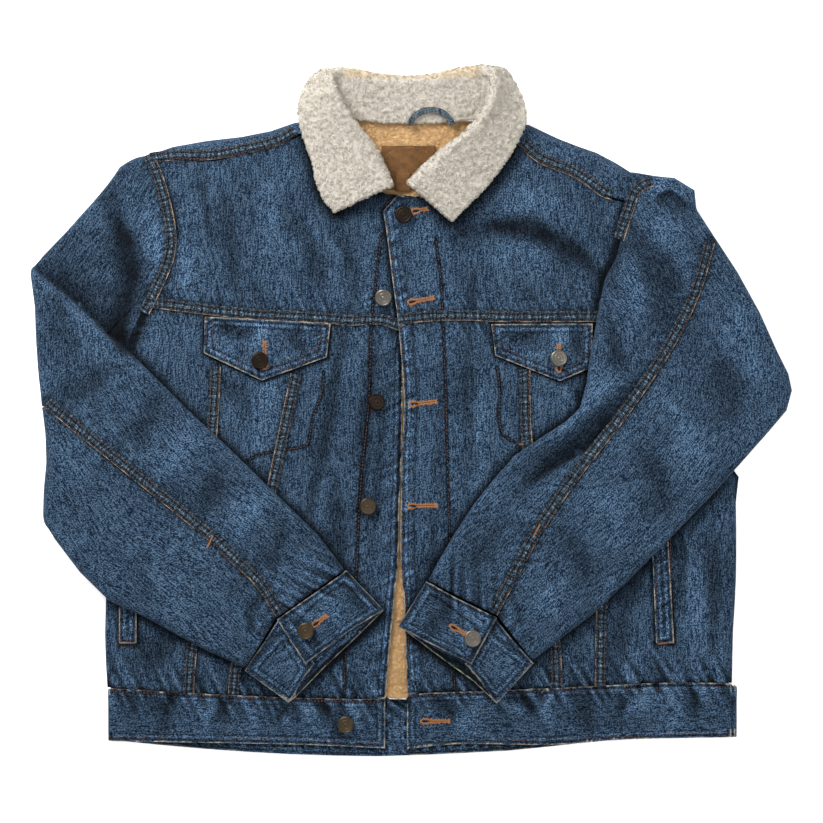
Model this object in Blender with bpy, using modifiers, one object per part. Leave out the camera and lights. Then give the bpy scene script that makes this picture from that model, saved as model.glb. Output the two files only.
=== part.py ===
"""Sherpa lined denim jacket, laid flat on its back with both sleeves brought across its front.

Lengths are in millimetres and meshes are stored in metres. X runs across the jacket towards the wearer's
left, Y from the hem to the collar, and Z up from the table. Right and left are the wearer's.
"""

import math

import bmesh
import bpy
from mathutils import Vector

MM = 0.001

# Cloth
SEAM_GAP = 0.3         # between two pieces that are sewn together
SLEEVE_SEAM_GAP = 0.5  # and between the two pieces of a sleeve, whose seam runs across the sections
LAID_GAP = 0.35        # between a piece and the one that lies on it
DENIM = 2.0            # one denim panel
BACKING = 1.6          # the denim of the back, pressed flat
BAND = 2.6             # waistband and cuffs, denim folded double
SLEEVE_WALL = 3.0      # denim with its quilted lining
PILE = 8.2             # sherpa fleece of the collar, backing and curls
STRAP = 2.0            # hanger loop

# Heights over the table
FULL = 14.0            # top of the front over both layers of pile
HEM_TOP = 10.0         # top of the front where it meets the waistband
EDGE_TOP = 5.0         # top of the front at the side and shoulder folds
EDGE_ROUND = 15.0      # how far in from a fold the front reaches its full height
HEM_SLOPE = (-245.0, -281.0)
SLEEVE_REST = 3.4      # how far a sleeve lies over the front's own height
TABLE_REST = 0.4       # and over the table
SLEEVE_CLEAR = 10.0    # how far past the body's edge a sleeve keeps its height
SLEEVE_DROP = 80.0     # distance over which it then comes down to the table
OVERLAP = 3.0          # how far the buttoned left front stands over the right one
OVERLAP_ACROSS = (11.0, 41.0)  # x between which it comes down
OVERLAP_UP = (5.0, 50.0)       # and y between which it goes up

# Seams that run across the front: x, y
CHEST_RIGHT = [(-267, 104), (-214, 97.5), (-165, 91.5), (-82, 88), (-40, 87), (-24, 85), (-6, 79)]
CHEST_LEFT = [(-15, 86.5), (8, 89), (31, 90.5), (88, 89), (140, 89), (215, 90)]
WAIST = [
    (-309, -277), (-210, -283), (-112, -287), (-26, -288), (-4, -283.5), (83, -280), (148, -277),
    (268, -271.5), (328, -273),
]

# Seams and edges that run down the front: y, x
SIDE_RIGHT = [
    (-290, -305), (-230, -308), (-184, -307), (-80, -306), (-35, -299), (5, -282), (32, -281), (59, -280),
    (81, -277), (104, -267),
]
OUTER_RIGHT = [(-290, -217.5), (-190, -210), (-110, -203), (-23, -194), (45, -191), (92, -191)]
INNER_RIGHT = [(-290, -172.5), (-150, -150), (-74, -133.5), (37, -110), (92, -110)]
FRONT_EDGE_RIGHT = [
    (-290, -26), (-254, -23.6), (-220, -20), (-185, -17), (-150, -13.3), (-105, -12.5), (-59, -10.5),
    (10, -9), (60, -8), (100, -2), (130, 4), (176, 9), (218, 9),
]
FRONT_EDGE_LEFT = [
    (-290, -4), (-231, -6), (-185, -8), (-150, -11), (-119, -11.2), (-82, -10.6), (-36, -9.8), (10, -7.5),
    (93, -14), (130, -19), (167, -23.5), (194, -27), (208, -28.5), (216, -20), (220, -12),
]
INNER_LEFT = [(-290, 139.5), (-190, 129), (-110, 118), (-33, 109), (42, 108), (92, 108)]
OUTER_LEFT = [(-290, 184.5), (-190, 185), (-110, 187), (-33, 189), (42, 191), (92, 191)]
SIDE_LEFT = [(-290, 322), (-224, 323), (-173, 326), (-91, 326), (-52, 324), (-20, 278), (30, 240), (88, 216)]
ARMHOLE_RIGHT = [
    (104, -267), (112, -262), (138, -250), (164, -242), (182, -240), (199, -242), (221, -248), (242, -254),
    (251, -264),
]
ARMHOLE_LEFT = [(88, 216), (105, 211), (130, 208), (155, 207), (180, 212), (205, 219), (227, 229)]

# Front yoke's top, from the armhole along the shoulder seam and down the neckline: x, y
YOKE_TOP_RIGHT = [
    (-264, 251), (-237, 252), (-202, 250.5), (-167, 258), (-137, 264.5), (-113, 276), (-92, 279), (-68, 258),
    (-48, 236), (-28, 219), (9, 216),
]
YOKE_TOP_LEFT = [
    (-14, 217), (24, 214), (45, 236), (66, 260), (86, 276), (108, 267), (121, 252), (135, 245), (156, 238),
    (174, 228), (189, 216), (220, 208),
]

# Back yoke: seam to the front yoke, then the fold over the shoulder; across the neck both are its cut edge
SHOULDERS = [
    # seam x, seam y, fold x, fold y
    (-264, 252, -262, 258),
    (-237, 253, -240, 266),
    (-202, 251.5, -206, 272),
    (-167, 259, -171, 276),
    (-137, 265.5, -141, 282),
    (-114, 278, -118, 290),
    (-95, 282, -98, 293),
    (-70, 290, -70, 287),
    (-25, 289, -25, 286),
    (20, 289, 20, 286),
    (62, 290, 62, 287),
    (88, 280, 92, 291),
    (108, 268.5, 118, 288),
    (122, 253.5, 133, 281),
    (135, 246.5, 148, 274),
    (156, 239.5, 166, 267),
    (174, 229.5, 186, 260),
    (190, 217.5, 205, 250),
    (221, 209.5, 224, 238),
]
NECK_STATIONS = (7, 10)
BACK_YOKE_SEAM = 98.0
NECK_TURN = 6.0                # how far the back yoke reaches below the neck's cut edge in its first step
FOLD_PARTS = (0.45, 0.8)       # sections between the shoulder seam and the fold
FOLD_TUCK = (2.2, 6.0)         # how far in from the fold it reaches the table, then lies flat
BACK_LOW = -279.0
BACK_EDGE_INSET = 3.0          # how far the back's edges lie inside the front's

# Pile lining: its top edge from shoulder to shoulder, how far in it ends, and its gap to the denim over it
LINING_NECK = [
    (-170, 255), (-112, 275), (-72, 281), (-50, 287.5), (0, 288), (48, 287.5), (66, 281), (106, 268),
    (150, 250),
]
LINING_INSET = 11.0
LINING_GAP = 1.3
LINING_SHOULDER = (226.0, 238.0)  # height of its upper corners
LINING_UNDERARM = 180.0           # above this its left edge runs straight up

# Creases of the front: start, end, height (a trough is negative), width
FRONT_CREASES = [
    (128, 178, 188, 135, 2.2, 15),
    (60, 186, 96, 190, -2.2, 12),
    (96, 196, 176, 168, -1.6, 12),
    (196, 232, 214, 150, 3.2, 16),
    (-236, 160, -215, 108, -1.5, 12),
    (-120, 220, -150, 150, 1.2, 14),
    (60, 30, 74, -60, -1.5, 14),
    (90, -190, 150, -215, 1.6, 14),
    (-70, 40, -82, -120, 1.3, 14),
    (-250, -236, -190, -262, 1.4, 12),
    (280, -150, 300, -250, -1.4, 12),
]

# The pile keeps clear of the front's troughs: how much deeper, and how many times wider
LINING_DEEPER = 0.8
LINING_WIDER = 1.6
LINING_CREASES = [
    (x0, y0, x1, y1, height - LINING_DEEPER, width * LINING_WIDER)
    for x0, y0, x1, y1, height, width in FRONT_CREASES
    if height < 0
]

# Sleeves, one row for each section: inner edge, elbow seam, outer edge, thickness, armhole bow
SLEEVE_LEFT = [
    (205, 153, 222, 229, 225.5, 236.5, 6.5, 0),
    (200, 145, 258, 231, 263, 234, 8.0, 0),
    (194, 136, 276, 218, 284, 222, 10.0, 0),
    (191, 124, 281, 201, 286, 203, 10.5, 0),
    (188, 110, 300, 170, 305, 175, 10.0, 0),
    (184, 85, 294, 129, 328, 140, 9.5, 0),
    (179, 58, 280, 96, 350, 100, 9.5, 0),
    (175, 30, 263, 65, 368, 60, 9.5, 0),
    (172, 17, 245, 37, 379, 38, 9.5, 0),
    (168, 3, 228, 10, 382.6, 21, 9.5, 0),
    (161, -3.5, 218.5, -2.5, 377, 1, 9.5, 0),
    (154, -10, 208, -16, 360, -18, 9.5, 0),
    (128, -27, 186, -43, 329, -52, 9.5, 0),
    (103, -44, 166, -69, 303, -81, 9.5, 0),
    (82, -68, 148, -95, 274, -111, 9.5, 0),
    (62, -93, 131, -120, 245, -141, 9.5, 0),
    (43, -122, 116, -147, 215, -171, 9.5, 0),
    (29, -146, 101, -175, 181, -203, 9.0, 0),
    (16.5, -169, 86, -204, 121, -249, 8.4, 0),
]
UPPER_ARM_RIGHT = [
    (-268.5, 252, -277, 100, -283.6, 5, 13.4, 1.0),
    (-293, 243, -288, 86, -292, -20, 12.6, 0.75),
    (-320, 211, -306, 66, -317, -45, 11.0, 0.35),
    (-347, 181, -330, 43, -337, -70, 9.5, 0),
    (-372, 155, -358, 9, -358, -101, 9.5, 0),
]
FOREARM_RIGHT = [
    (-372, 137, -358, 1, -358, -127, 9.5, 0),
    (-333, 100, -318, -37, -332, -161, 9.5, 0),
    (-281, 59, -279, -68, -303, -189, 9.5, 0),
    (-224, 2, -240, -99, -266, -206, 9.5, 0),
    (-179, -40, -206, -126, -235, -223, 9.5, 0),
    (-131, -87, -177, -153, -205, -239, 9.5, 0),
    (-94, -123, -154, -176, -182, -249, 9.0, 0),
    (-67, -158, -135, -206, -166, -257, 8.4, 0),
]
# How far the armhole bows in from the straight line between its ends: part of its length, mm
ARMHOLE_BOW = [
    (0, 0), (0.13, 21.4), (0.29, 31.8), (0.46, 23.2), (0.57, 12.6), (0.69, -1.5), (0.8, -2), (1, 0),
]
# The elbow fold of the right sleeve: part of its length, x of the cloth's outermost line
ELBOW_FOLD = [(0, -384), (0.1, -379), (0.35, -376), (0.6, -369), (0.72, -366), (0.85, -369), (1, -370)]
ELBOW_TOP = (152, 140)         # y of the fold's upper end on the upper arm and on the forearm
ELBOW_BOTTOM = (-106, -122)   # and of its lower end
ELBOW_SEAM = (7, 3)            # and of the elbow seam
ELBOW_HIDDEN_SEAM = 14.0       # y of the other seam inside the fold
ELBOW_INNER = 1.5              # radius inside the fold
ELBOW_TURNS = 5                # sections around the fold
SLEEVE_EDGE_ROUND = 7.0        # width over which a sleeve's edge comes up to its full thickness
EDGE_LOW = 0.3                 # height of its edge, as a part of its thickness
EDGE_MOST = 0.45               # the most of a section's half that the round takes
EDGE_FIRST = 0.3               # place of the section nearest the edge, as a part of the round
LEAST_SLANT = 0.25             # a seam that runs along the sections is cut as if it crossed them this much
FOLD_OUTWARD = (-372.0, 100.0)  # x of the elbow fold, and how far in from it the forearm lies on the front
SEAM_SPLIT = 0.5               # place of the hidden sleeve seam between the two edges

# Creases of the sleeves' upper side: start, end, height, width
SLEEVE_CREASES_LEFT = [
    (226, 20, 205, -5, -4.5, 11),
    (205, -5, 167, -33, -4.5, 11),
    (167, -33, 118, -77, -3.0, 11),
    (250, 130, 300, 80, 2.0, 16),
    (262, 215, 280, 204, -4.5, 10),
    (240, 205, 268, 160, 3.0, 15),
    (300, 40, 360, 28, 2.2, 13),
    (215, 105, 232, 50, -2.0, 13),
    (120, -110, 210, -120, 1.8, 13),
    (62, -125, 120, -160, -1.8, 12),
]
SLEEVE_CREASES_RIGHT = [
    (-355, 60, -300, 10, -2.4, 13),
    (-350, -60, -300, -110, 2.2, 14),
    (-330, 80, -285, -20, 1.8, 14),
    (-240, -30, -200, -110, -1.8, 14),
    (-190, -180, -140, -150, 1.6, 12),
    (-150, -120, -90, -150, -1.6, 12),
]

# Cuffs, from the buttonhole end over the top, round the inner fold, underneath, round the outer fold and back
# to the button end: seam edge x, y, hand edge x, y, height of the band's middle
CUFF_GAP = 0.8                 # between a sleeve's end and its cuff
CUFF_BUTTON_Z = 24.6           # height of the band's middle under the button
CUFF_RIGHT = [
    (-134.5, -207, -106, -252, 24.6),
    (-112, -191, -85, -236, 24.6),
    (-89, -175, -62, -219, 24.4),
    (-71, -162.5, -39, -205, 24.0),
    (-67.5, -159.5, -30, -200, 22.4),
    (-66.8, -159, -28.5, -199.5, 20.8),
    (-69, -161.5, -32, -203, 18.6),
    (-92, -180, -53, -224, 18.3),
    (-125, -212, -85, -254, 18.3),
    (-160, -252, -116, -286, 18.3),
    (-166.3, -257.6, -121.5, -290, 19.2),
    (-166.6, -257.8, -122, -290.3, 20.4),
    (-162, -250, -117, -283, 21.4),
    (-148, -230, -108, -266, 21.4),
    (-132, -205, -97, -252, 21.4),
]
CUFF_LEFT = [
    (85.7, -205.2, 60, -252, 24.6),
    (62.5, -194, 38, -241, 24.6),
    (38.5, -182, 17, -231, 24.4),
    (21, -172, -5, -219, 24.0),
    (16.8, -170, -11, -216, 22.4),
    (16.2, -169.8, -12, -215.5, 20.8),
    (19, -172.5, -8, -218, 18.6),
    (50, -196, 22, -241, 18.3),
    (82, -222, 62, -270, 18.3),
    (114, -246, 79, -286, 18.3),
    (121.4, -250, 84, -291, 19.2),
    (121.8, -250.2, 84.4, -291.3, 20.4),
    (116, -244, 80, -285, 21.4),
    (100, -226, 68, -268, 21.4),
    (84, -206, 54, -252, 21.4),
]

# Waistband: lower edge of the front, then of the back: x, y
BAND_HEM = [
    (-306, -331), (-112, -334.5), (-29, -338), (0, -339), (37, -334), (148, -334.5), (211, -329.5),
    (328, -327),
]
BACK_HEM = [
    (-306, -330), (-212, -339), (-112, -345), (-20, -346.6), (38, -344), (88, -342), (148, -336), (208, -330),
    (328, -327),
]
BAND_TOP_Z = 9.4               # top of the front band at its seam
BAND_HEM_Z = 7.0               # and at the hem
BAND_SIDES = (-305.0, 327.0)   # outermost line at each side
BAND_ENDS = (-26.5, -4.5)      # buttonhole and button ends
BAND_FOLD = 3.4                # radius of the fold at each side

# Collar, from the right front end round the neck to the left one: neck seam x, y, z, roll x, y, z,
# lean of the roll in degrees (90 folded down, 0 upright, -90 laid back), outer edge x, y, z
COLLAR = [
    (-35, 221, 19.2, -21, 224, 23.6, 90, -77, 199, 19.0),
    (-42, 232, 19.2, -28, 250, 24.5, 90, -92, 218, 19.0),
    (-58, 256, 19.2, -41, 274, 26.0, 90, -98, 245, 19.2),
    (-70, 276, 19.4, -52, 290, 28.5, 86, -107, 272, 19.6),
    (-73, 289, 18.6, -61, 305, 31.0, 76, -114, 300, 18.0),
    (-68, 295, 16.6, -70, 321, 33.0, 48, -108, 322, 14.0),
    (-58, 294, 14.6, -72, 336, 28.0, 10, -93, 341, 9.0),
    (-44, 292, 12.6, -60, 340, 21.0, -45, -72, 330, 5.5),
    (-26, 290, 11.6, -32, 335, 14.6, -84, -34, 306, 4.7),
    (-2, 289, 11.4, -6, 332.5, 12.6, -90, -6, 302, 4.6),
    (24, 290, 11.6, 22, 334.5, 14.6, -84, 24, 305, 4.7),
    (46, 292, 12.6, 56, 341, 21.0, -45, 68, 331, 5.5),
    (60, 294, 14.6, 74, 338, 28.0, 10, 91, 341, 9.0),
    (68, 293, 16.6, 73, 321, 33.0, 48, 107, 319, 14.0),
    (68, 284, 18.6, 64, 303, 31.0, 76, 115, 293, 18.0),
    (56, 264, 19.4, 50, 283, 28.5, 86, 104, 266, 19.6),
    (42, 243, 19.2, 31, 260, 26.0, 90, 90, 244, 19.2),
    (28, 224, 20.6, 14, 244, 25.4, 90, 72, 222, 19.0),
    (19, 214, 22.4, -2, 226, 26.8, 90, 40, 190, 20.0),
]
ROLL_RADIUS = 4.4

# Pocket flaps and welts: corners of the top edge, the lower corners and the flap's point
FLAP_RIGHT = {"top": [(-207, 95), (-81, 88)], "bottom": [(-208, 58.5), (-150, 31), (-85, 54.5)]}
FLAP_LEFT = {"top": [(80, 87.5), (181.5, 88)], "bottom": [(84, 56), (148.5, 30.5), (180, 44)]}
WELT_RIGHT = [(-293, -90), (-275.5, -90), (-293, -232), (-275.5, -232)]
WELT_LEFT = [(239, -90), (255, -90), (245, -232), (263, -232)]
FLAP = 1.9
WELT = 1.4
WELT_GAP = 0.65                # between a welt and the front

# Buttons: x, y of the centre
FRONT_BUTTONS = [(-28.3, 114), (-35, 9), (-43.6, -95)]
TOP_BUTTON = (-8, 197)
WAIST_BUTTON = (-66, -314)
FLAP_BUTTON_RIGHT = (-151.7, 51)
FLAP_BUTTON_LEFT = (147.4, 53.3)
CUFF_BUTTON_RIGHT = (-105.6, -218.8)
CUFF_BUTTON_LEFT = (61, -226.4)
BUTTON_ACROSS = 17.0
BUTTON_NECK = 9.0
BUTTON_TALL = 4.6
SHANK_GAP = 0.65               # between a button's shank and the cloth it stands on
FLAP_SHANK_GAP = 0.85          # and on a flap, which bulges over its button
BAND_SHANK_GAP = 0.8           # and on the waistband
BUTTON_STEPS = 14

# Label, size tab and hanger loop
LABEL = (-30, 222, 24, 266.5)      # lowest x and y, highest x and y
SIZE_TAB = (-16, 221, -1, 239)
LABEL_THICK = 0.9
LOOP = [
    (-2, 287, 17.1), (3, 295.5, 18.2), (12, 300.5, 19.1), (21, 301.5, 19.4), (30, 299.5, 19.4),
    (37, 294, 18.8), (41, 287, 17.6),
]
LOOP_WIDTH = 6.0

# Sections of each grid, as parts of its width or height; a side panel's are closest at the side fold
SIDE_COLUMNS = [0.0, 0.025, 0.07, 0.15, 0.43, 0.71, 1.0]
MIDDLE_COLUMNS = [0.0, 0.25, 0.5, 0.75, 1.0]
CENTRE_COLUMNS = [0.0, 0.16, 0.32, 0.48, 0.64, 0.8, 0.9, 1.0]
LOWER_ROWS = 14
YOKE_ROWS = 8
LINING_COLUMNS = [
    0.0, 0.012, 0.035, 0.12, 0.22, 0.32, 0.41, 0.5, 0.59, 0.68, 0.78, 0.88, 0.965, 0.988, 1.0,
]
LINING_ROWS = 9


def read(rows, key):
    """Reads a table of (key, value) rows at a key, on a smooth curve through them."""
    rows = sorted(rows)
    last = len(rows) - 1
    i = max([k for k in range(last) if rows[k][0] <= key], default=0)
    slopes = []
    for k in (i, i + 1):
        before, after = rows[max(k - 1, 0)], rows[min(k + 1, last)]
        slopes.append((after[1] - before[1]) / (after[0] - before[0]))
    span = rows[i + 1][0] - rows[i][0]
    t = (key - rows[i][0]) / span
    if t < 0 or t > 1:
        return rows[i + (t > 1)][1] + slopes[t > 1] * (key - rows[i + (t > 1)][0])
    return (
        (2 * t**3 - 3 * t**2 + 1) * rows[i][1]
        + (t**3 - 2 * t**2 + t) * span * slopes[0]
        + (3 * t**2 - 2 * t**3) * rows[i + 1][1]
        + (t**3 - t**2) * span * slopes[1]
    )


def steps(count):
    """The parts of a length at the ends of a number of equal steps."""
    return [i / count for i in range(count + 1)]


def between(a, b, t):
    """The value or point a part of the way from one to another."""
    return a + (b - a) * t


def smooth(points, parts):
    """Points at the given parts of the length of a smooth curve through others."""
    points = [Vector(point) for point in points]
    lengths = [0.0]
    for a, b in zip(points, points[1:]):
        lengths.append(lengths[-1] + (b - a).length)
    curves = [list(zip(lengths, values)) for values in zip(*points)]
    return [Vector([read(curve, part * lengths[-1]) for curve in curves]) for part in parts]


def ease(t):
    """Turns 0 to 1 into a soft start and end."""
    t = min(max(t, 0.0), 1.0)
    return t * t * (3 - 2 * t)


def distance(x, y, line):
    """Distance in plan from a point to a line through others."""
    point = Vector((x, y))
    nearest = math.inf
    for a, b in zip(line, line[1:]):
        a, b = Vector(a[:2]), Vector(b[:2])
        part = min(max((point - a).dot(b - a) / (b - a).length_squared, 0.0), 1.0)
        nearest = min(nearest, (point - between(a, b, part)).length)
    return nearest


def outside(x, y, outline):
    """Distance in plan from a point to a closed outline, or 0 within it."""
    closed = outline + outline[:1]
    within = False
    for (ax, ay), (bx, by) in zip(closed, closed[1:]):
        if (ay > y) != (by > y) and x < (bx - ax) * (y - ay) / (by - ay) + ax:
            within = not within
    return 0.0 if within else distance(x, y, closed)


def creased(x, y, creases):
    """Height that the creases add at a point."""
    total = 0.0
    for x0, y0, x1, y1, height, width in creases:
        total += height * math.exp(-((distance(x, y, [(x0, y0), (x1, y1)]) / width) ** 2))
    return total


def swapped(rows):
    """Points of a table that is keyed by y."""
    return [(x, y) for y, x in rows]


SHOULDER_RIGHT = [(fold_x, fold_y) for _, _, fold_x, fold_y in SHOULDERS[:7]]
SHOULDER_LEFT = [(fold_x, fold_y) for _, _, fold_x, fold_y in SHOULDERS[11:]]
SIDE_FOLDS = [
    SHOULDER_RIGHT,
    SHOULDER_LEFT,
    swapped(SIDE_RIGHT[:5]) + [(-305, -340)],
    swapped(SIDE_LEFT[:5]) + [(327, -340)],
]
BODY_OUTLINE = (
    SHOULDER_RIGHT
    + SHOULDER_LEFT
    + swapped(reversed(ARMHOLE_LEFT))
    + swapped(reversed(SIDE_LEFT[:-1]))
    + [(327, -327), (-20, -346), (-305, -332)]
    + swapped(SIDE_RIGHT[:-1])
    + swapped(ARMHOLE_RIGHT)
)
ARM_OUTLINE = [row[:2] for row in UPPER_ARM_RIGHT] + [row[4:6] for row in reversed(UPPER_ARM_RIGHT)]


def lined_height(y):
    """Height of the front's top over the pile, before its side folds and creases."""
    return between(FULL, HEM_TOP, ease((y - HEM_SLOPE[0]) / (HEM_SLOPE[1] - HEM_SLOPE[0])))


def front_height(x, y, creases=FRONT_CREASES):
    """Height of the front's top: full over the pile and rounded down to the side and shoulder folds."""
    inward = min(distance(x, y, fold) for fold in SIDE_FOLDS)
    part = 1 - min(inward / EDGE_ROUND, 1.0)
    round_down = (lined_height(y) - EDGE_TOP) * (1 - math.sqrt(1 - part * part))
    return lined_height(y) - round_down + creased(x, y, creases) * (1 - part)


def overlap_rise(x, y):
    """How far the left front stands over the right one that it is buttoned across."""
    across = 1 - ease((x - OVERLAP_ACROSS[0]) / (OVERLAP_ACROSS[1] - OVERLAP_ACROSS[0]))
    return OVERLAP * across * ease((y - OVERLAP_UP[0]) / (OVERLAP_UP[1] - OVERLAP_UP[0]))


def sleeve_base(x, y, outlines, rest):
    """Height that the underside of a sleeve lies at: over the body, down a slope and on the table."""
    clear = min(outside(x, y, outline) for outline in outlines) - SLEEVE_CLEAR
    return between(rest, TABLE_REST, ease(clear / SLEEVE_DROP))


def grid_mesh(rows):
    """An open sheet through rows of points, with its normals to the left of the rows' run."""
    tall, wide = len(rows), len(rows[0])
    bm = bmesh.new()
    bmesh.ops.create_grid(bm, x_segments=wide - 1, y_segments=tall - 1, size=1)
    bm.verts.ensure_lookup_table()
    for j, row in enumerate(rows):
        for i, point in enumerate(row):
            bm.verts[j * wide + i].co = Vector(point) * MM
    return bm


def finish(name, bm, material):
    """Makes an object of a mesh and puts it in the jacket's collection."""
    mesh = bpy.data.meshes.new(name)
    bm.to_mesh(mesh)
    bm.free()
    mesh.materials.append(material)
    mesh.shade_smooth()
    mesh.set_sharp_from_angle(angle=math.radians(50))
    thing = bpy.data.objects.new(name, mesh)
    jacket.objects.link(thing)
    return thing


def shell(name, rows, inner_rows, material):
    """A closed piece between a grid of points and a second grid on its other side."""
    bm = grid_mesh(rows)
    place = bm.verts.layers.int.new("place")
    for vert in bm.verts:
        vert[place] = vert.index
    sheet = bm.faces[:] + bm.edges[:] + bm.verts[:]
    copied = bmesh.ops.extrude_face_region(bm, geom=sheet, use_keep_orig=True)["geom"]
    inner = [point for row in inner_rows for point in row]
    for vert in copied:
        if isinstance(vert, bmesh.types.BMVert):
            vert.co = inner[vert[place]] * MM
    bmesh.ops.recalc_face_normals(bm, faces=bm.faces[:])
    return finish(name, bm, material)


def slab(name, rows, thickness, material, floor=None):
    """A panel whose top is a grid of points, thick straight down or reaching down to a flat floor."""
    lower = [[Vector((p.x, p.y, p.z - thickness if floor is None else floor)) for p in row] for row in rows]
    return shell(name, rows, lower, material)


def wall(name, rows, thickness, material, offset=0.0, flip=False):
    """A cloth wall along a curved sheet of points."""
    bm = grid_mesh(rows)
    if flip:
        bmesh.ops.reverse_faces(bm, faces=bm.faces[:])
    thing = finish(name, bm, material)
    solidify = thing.modifiers.new("Wall", "SOLIDIFY")
    solidify.thickness = thickness * MM
    solidify.offset = offset
    return thing


def parts_along(line):
    """How far along a line each of its points lies, as parts of its length."""
    lengths = [0.0]
    for a, b in zip(line, line[1:]):
        lengths.append(lengths[-1] + (b - a).length)
    return [length / lengths[-1] for length in lengths]


def patch(left, right, bottom, top):
    """Points that fill four borders which meet at their corners: rows from bottom to top."""
    left, right, bottom, top = ([Vector(point) for point in border] for border in (left, right, bottom, top))
    rows = []
    for j, v in enumerate(parts_along(left)):
        row = []
        for i, u in enumerate(parts_along(bottom)):
            corners = between(between(bottom[0], bottom[-1], u), between(top[0], top[-1], u), v)
            row.append(between(left[j], right[j], u) + between(bottom[i], top[i], v) - corners)
        rows.append(row)
    return rows


def trim(rows, gap=SEAM_GAP / 2):
    """Draws the border of a panel in, so that it clears its neighbours at the seams."""
    tall, wide = len(rows) - 1, len(rows[0]) - 1
    trimmed = [[point.copy() for point in row] for row in rows]
    for j in range(tall + 1):
        for i, side in ((0, 1), (wide, -1)):
            run = (rows[min(j + 1, tall)][i] - rows[max(j - 1, 0)][i]).normalized()
            trimmed[j][i] += Vector((run.y, -run.x)) * gap * side
    for i in range(wide + 1):
        for j, side in ((0, 1), (tall, -1)):
            run = (rows[j][min(i + 1, wide)] - rows[j][max(i - 1, 0)]).normalized()
            trimmed[j][i] += Vector((-run.y, run.x)) * gap * side
    return trimmed


def laid(rows, height):
    """Puts plan points at the height of what they lie on."""
    return [[Vector((point.x, point.y, height(point.x, point.y))) for point in row] for row in rows]


def upright(seam, low, high, count):
    """Points down a seam that is keyed by y, from one y to another."""
    return [Vector((read(seam, y), y)) for y in (between(low, high, t) for t in steps(count))]


def level(seam, left, right, parts):
    """Points along a seam that is keyed by x, at parts of the way from one x to another."""
    return [Vector((x, read(seam, x))) for x in (between(left, right, t) for t in parts)]


def make_front(side, chest, seams, names, columns, armhole, yoke_top, rise):
    """The yoke and the three lower panels of one front, between seams given from low x to high x."""
    corners = []
    for seam in seams:
        bottom_x = read(seam, read(WAIST, read(seam, -283)))
        top_x = read(seam, read(chest, read(seam, 90)))
        corners.append((Vector((bottom_x, read(WAIST, bottom_x))), Vector((top_x, read(chest, top_x)))))
    borders = []
    for seam, (bottom, top) in zip(seams, corners):
        border = upright(seam, bottom.y, top.y, LOWER_ROWS)
        border[0], border[-1] = bottom, top
        borders.append(border)

    def height(x, y):
        return front_height(x, y) + rise(x, y)

    yoke_bottom = [corners[0][1]]
    for k, (name, parts) in enumerate(zip(names, columns)):
        bottom = level(WAIST, corners[k][0].x, corners[k + 1][0].x, parts)
        top = level(chest, corners[k][1].x, corners[k + 1][1].x, parts)
        yoke_bottom += top[1:]
        rows = trim(patch(borders[k], borders[k + 1], bottom, top))
        slab(f"{side}_front_{name}", laid(rows, height), DENIM, denim)

    top = smooth(yoke_top, steps(len(yoke_bottom) - 1))
    ends = [armhole, seams[-1]] if side == "right" else [seams[0], armhole]
    sides = []
    for seam, low, high in zip(ends, (yoke_bottom[0], yoke_bottom[-1]), (top[0], top[-1])):
        border = upright(seam, low.y, high.y, YOKE_ROWS)
        border[0], border[-1] = low, high
        sides.append(border)
    rows = trim(patch(sides[0], sides[1], yoke_bottom, top))
    slab(f"{side}_front_yoke", laid(rows, height), DENIM, denim)


def make_fronts():
    columns = [SIDE_COLUMNS, MIDDLE_COLUMNS, CENTRE_COLUMNS]
    seams = [SIDE_RIGHT, OUTER_RIGHT, INNER_RIGHT, FRONT_EDGE_RIGHT]
    names = ["side", "middle", "centre"]
    make_front("right", CHEST_RIGHT, seams, names, columns, ARMHOLE_RIGHT, YOKE_TOP_RIGHT, lambda x, y: 0.0)
    seams = [FRONT_EDGE_LEFT, INNER_LEFT, OUTER_LEFT, SIDE_LEFT]
    columns = [[1 - part for part in reversed(parts)] for parts in reversed(columns)]
    make_front("left", CHEST_LEFT, seams, names[::-1], columns, ARMHOLE_LEFT, YOKE_TOP_LEFT, overlap_rise)


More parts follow.
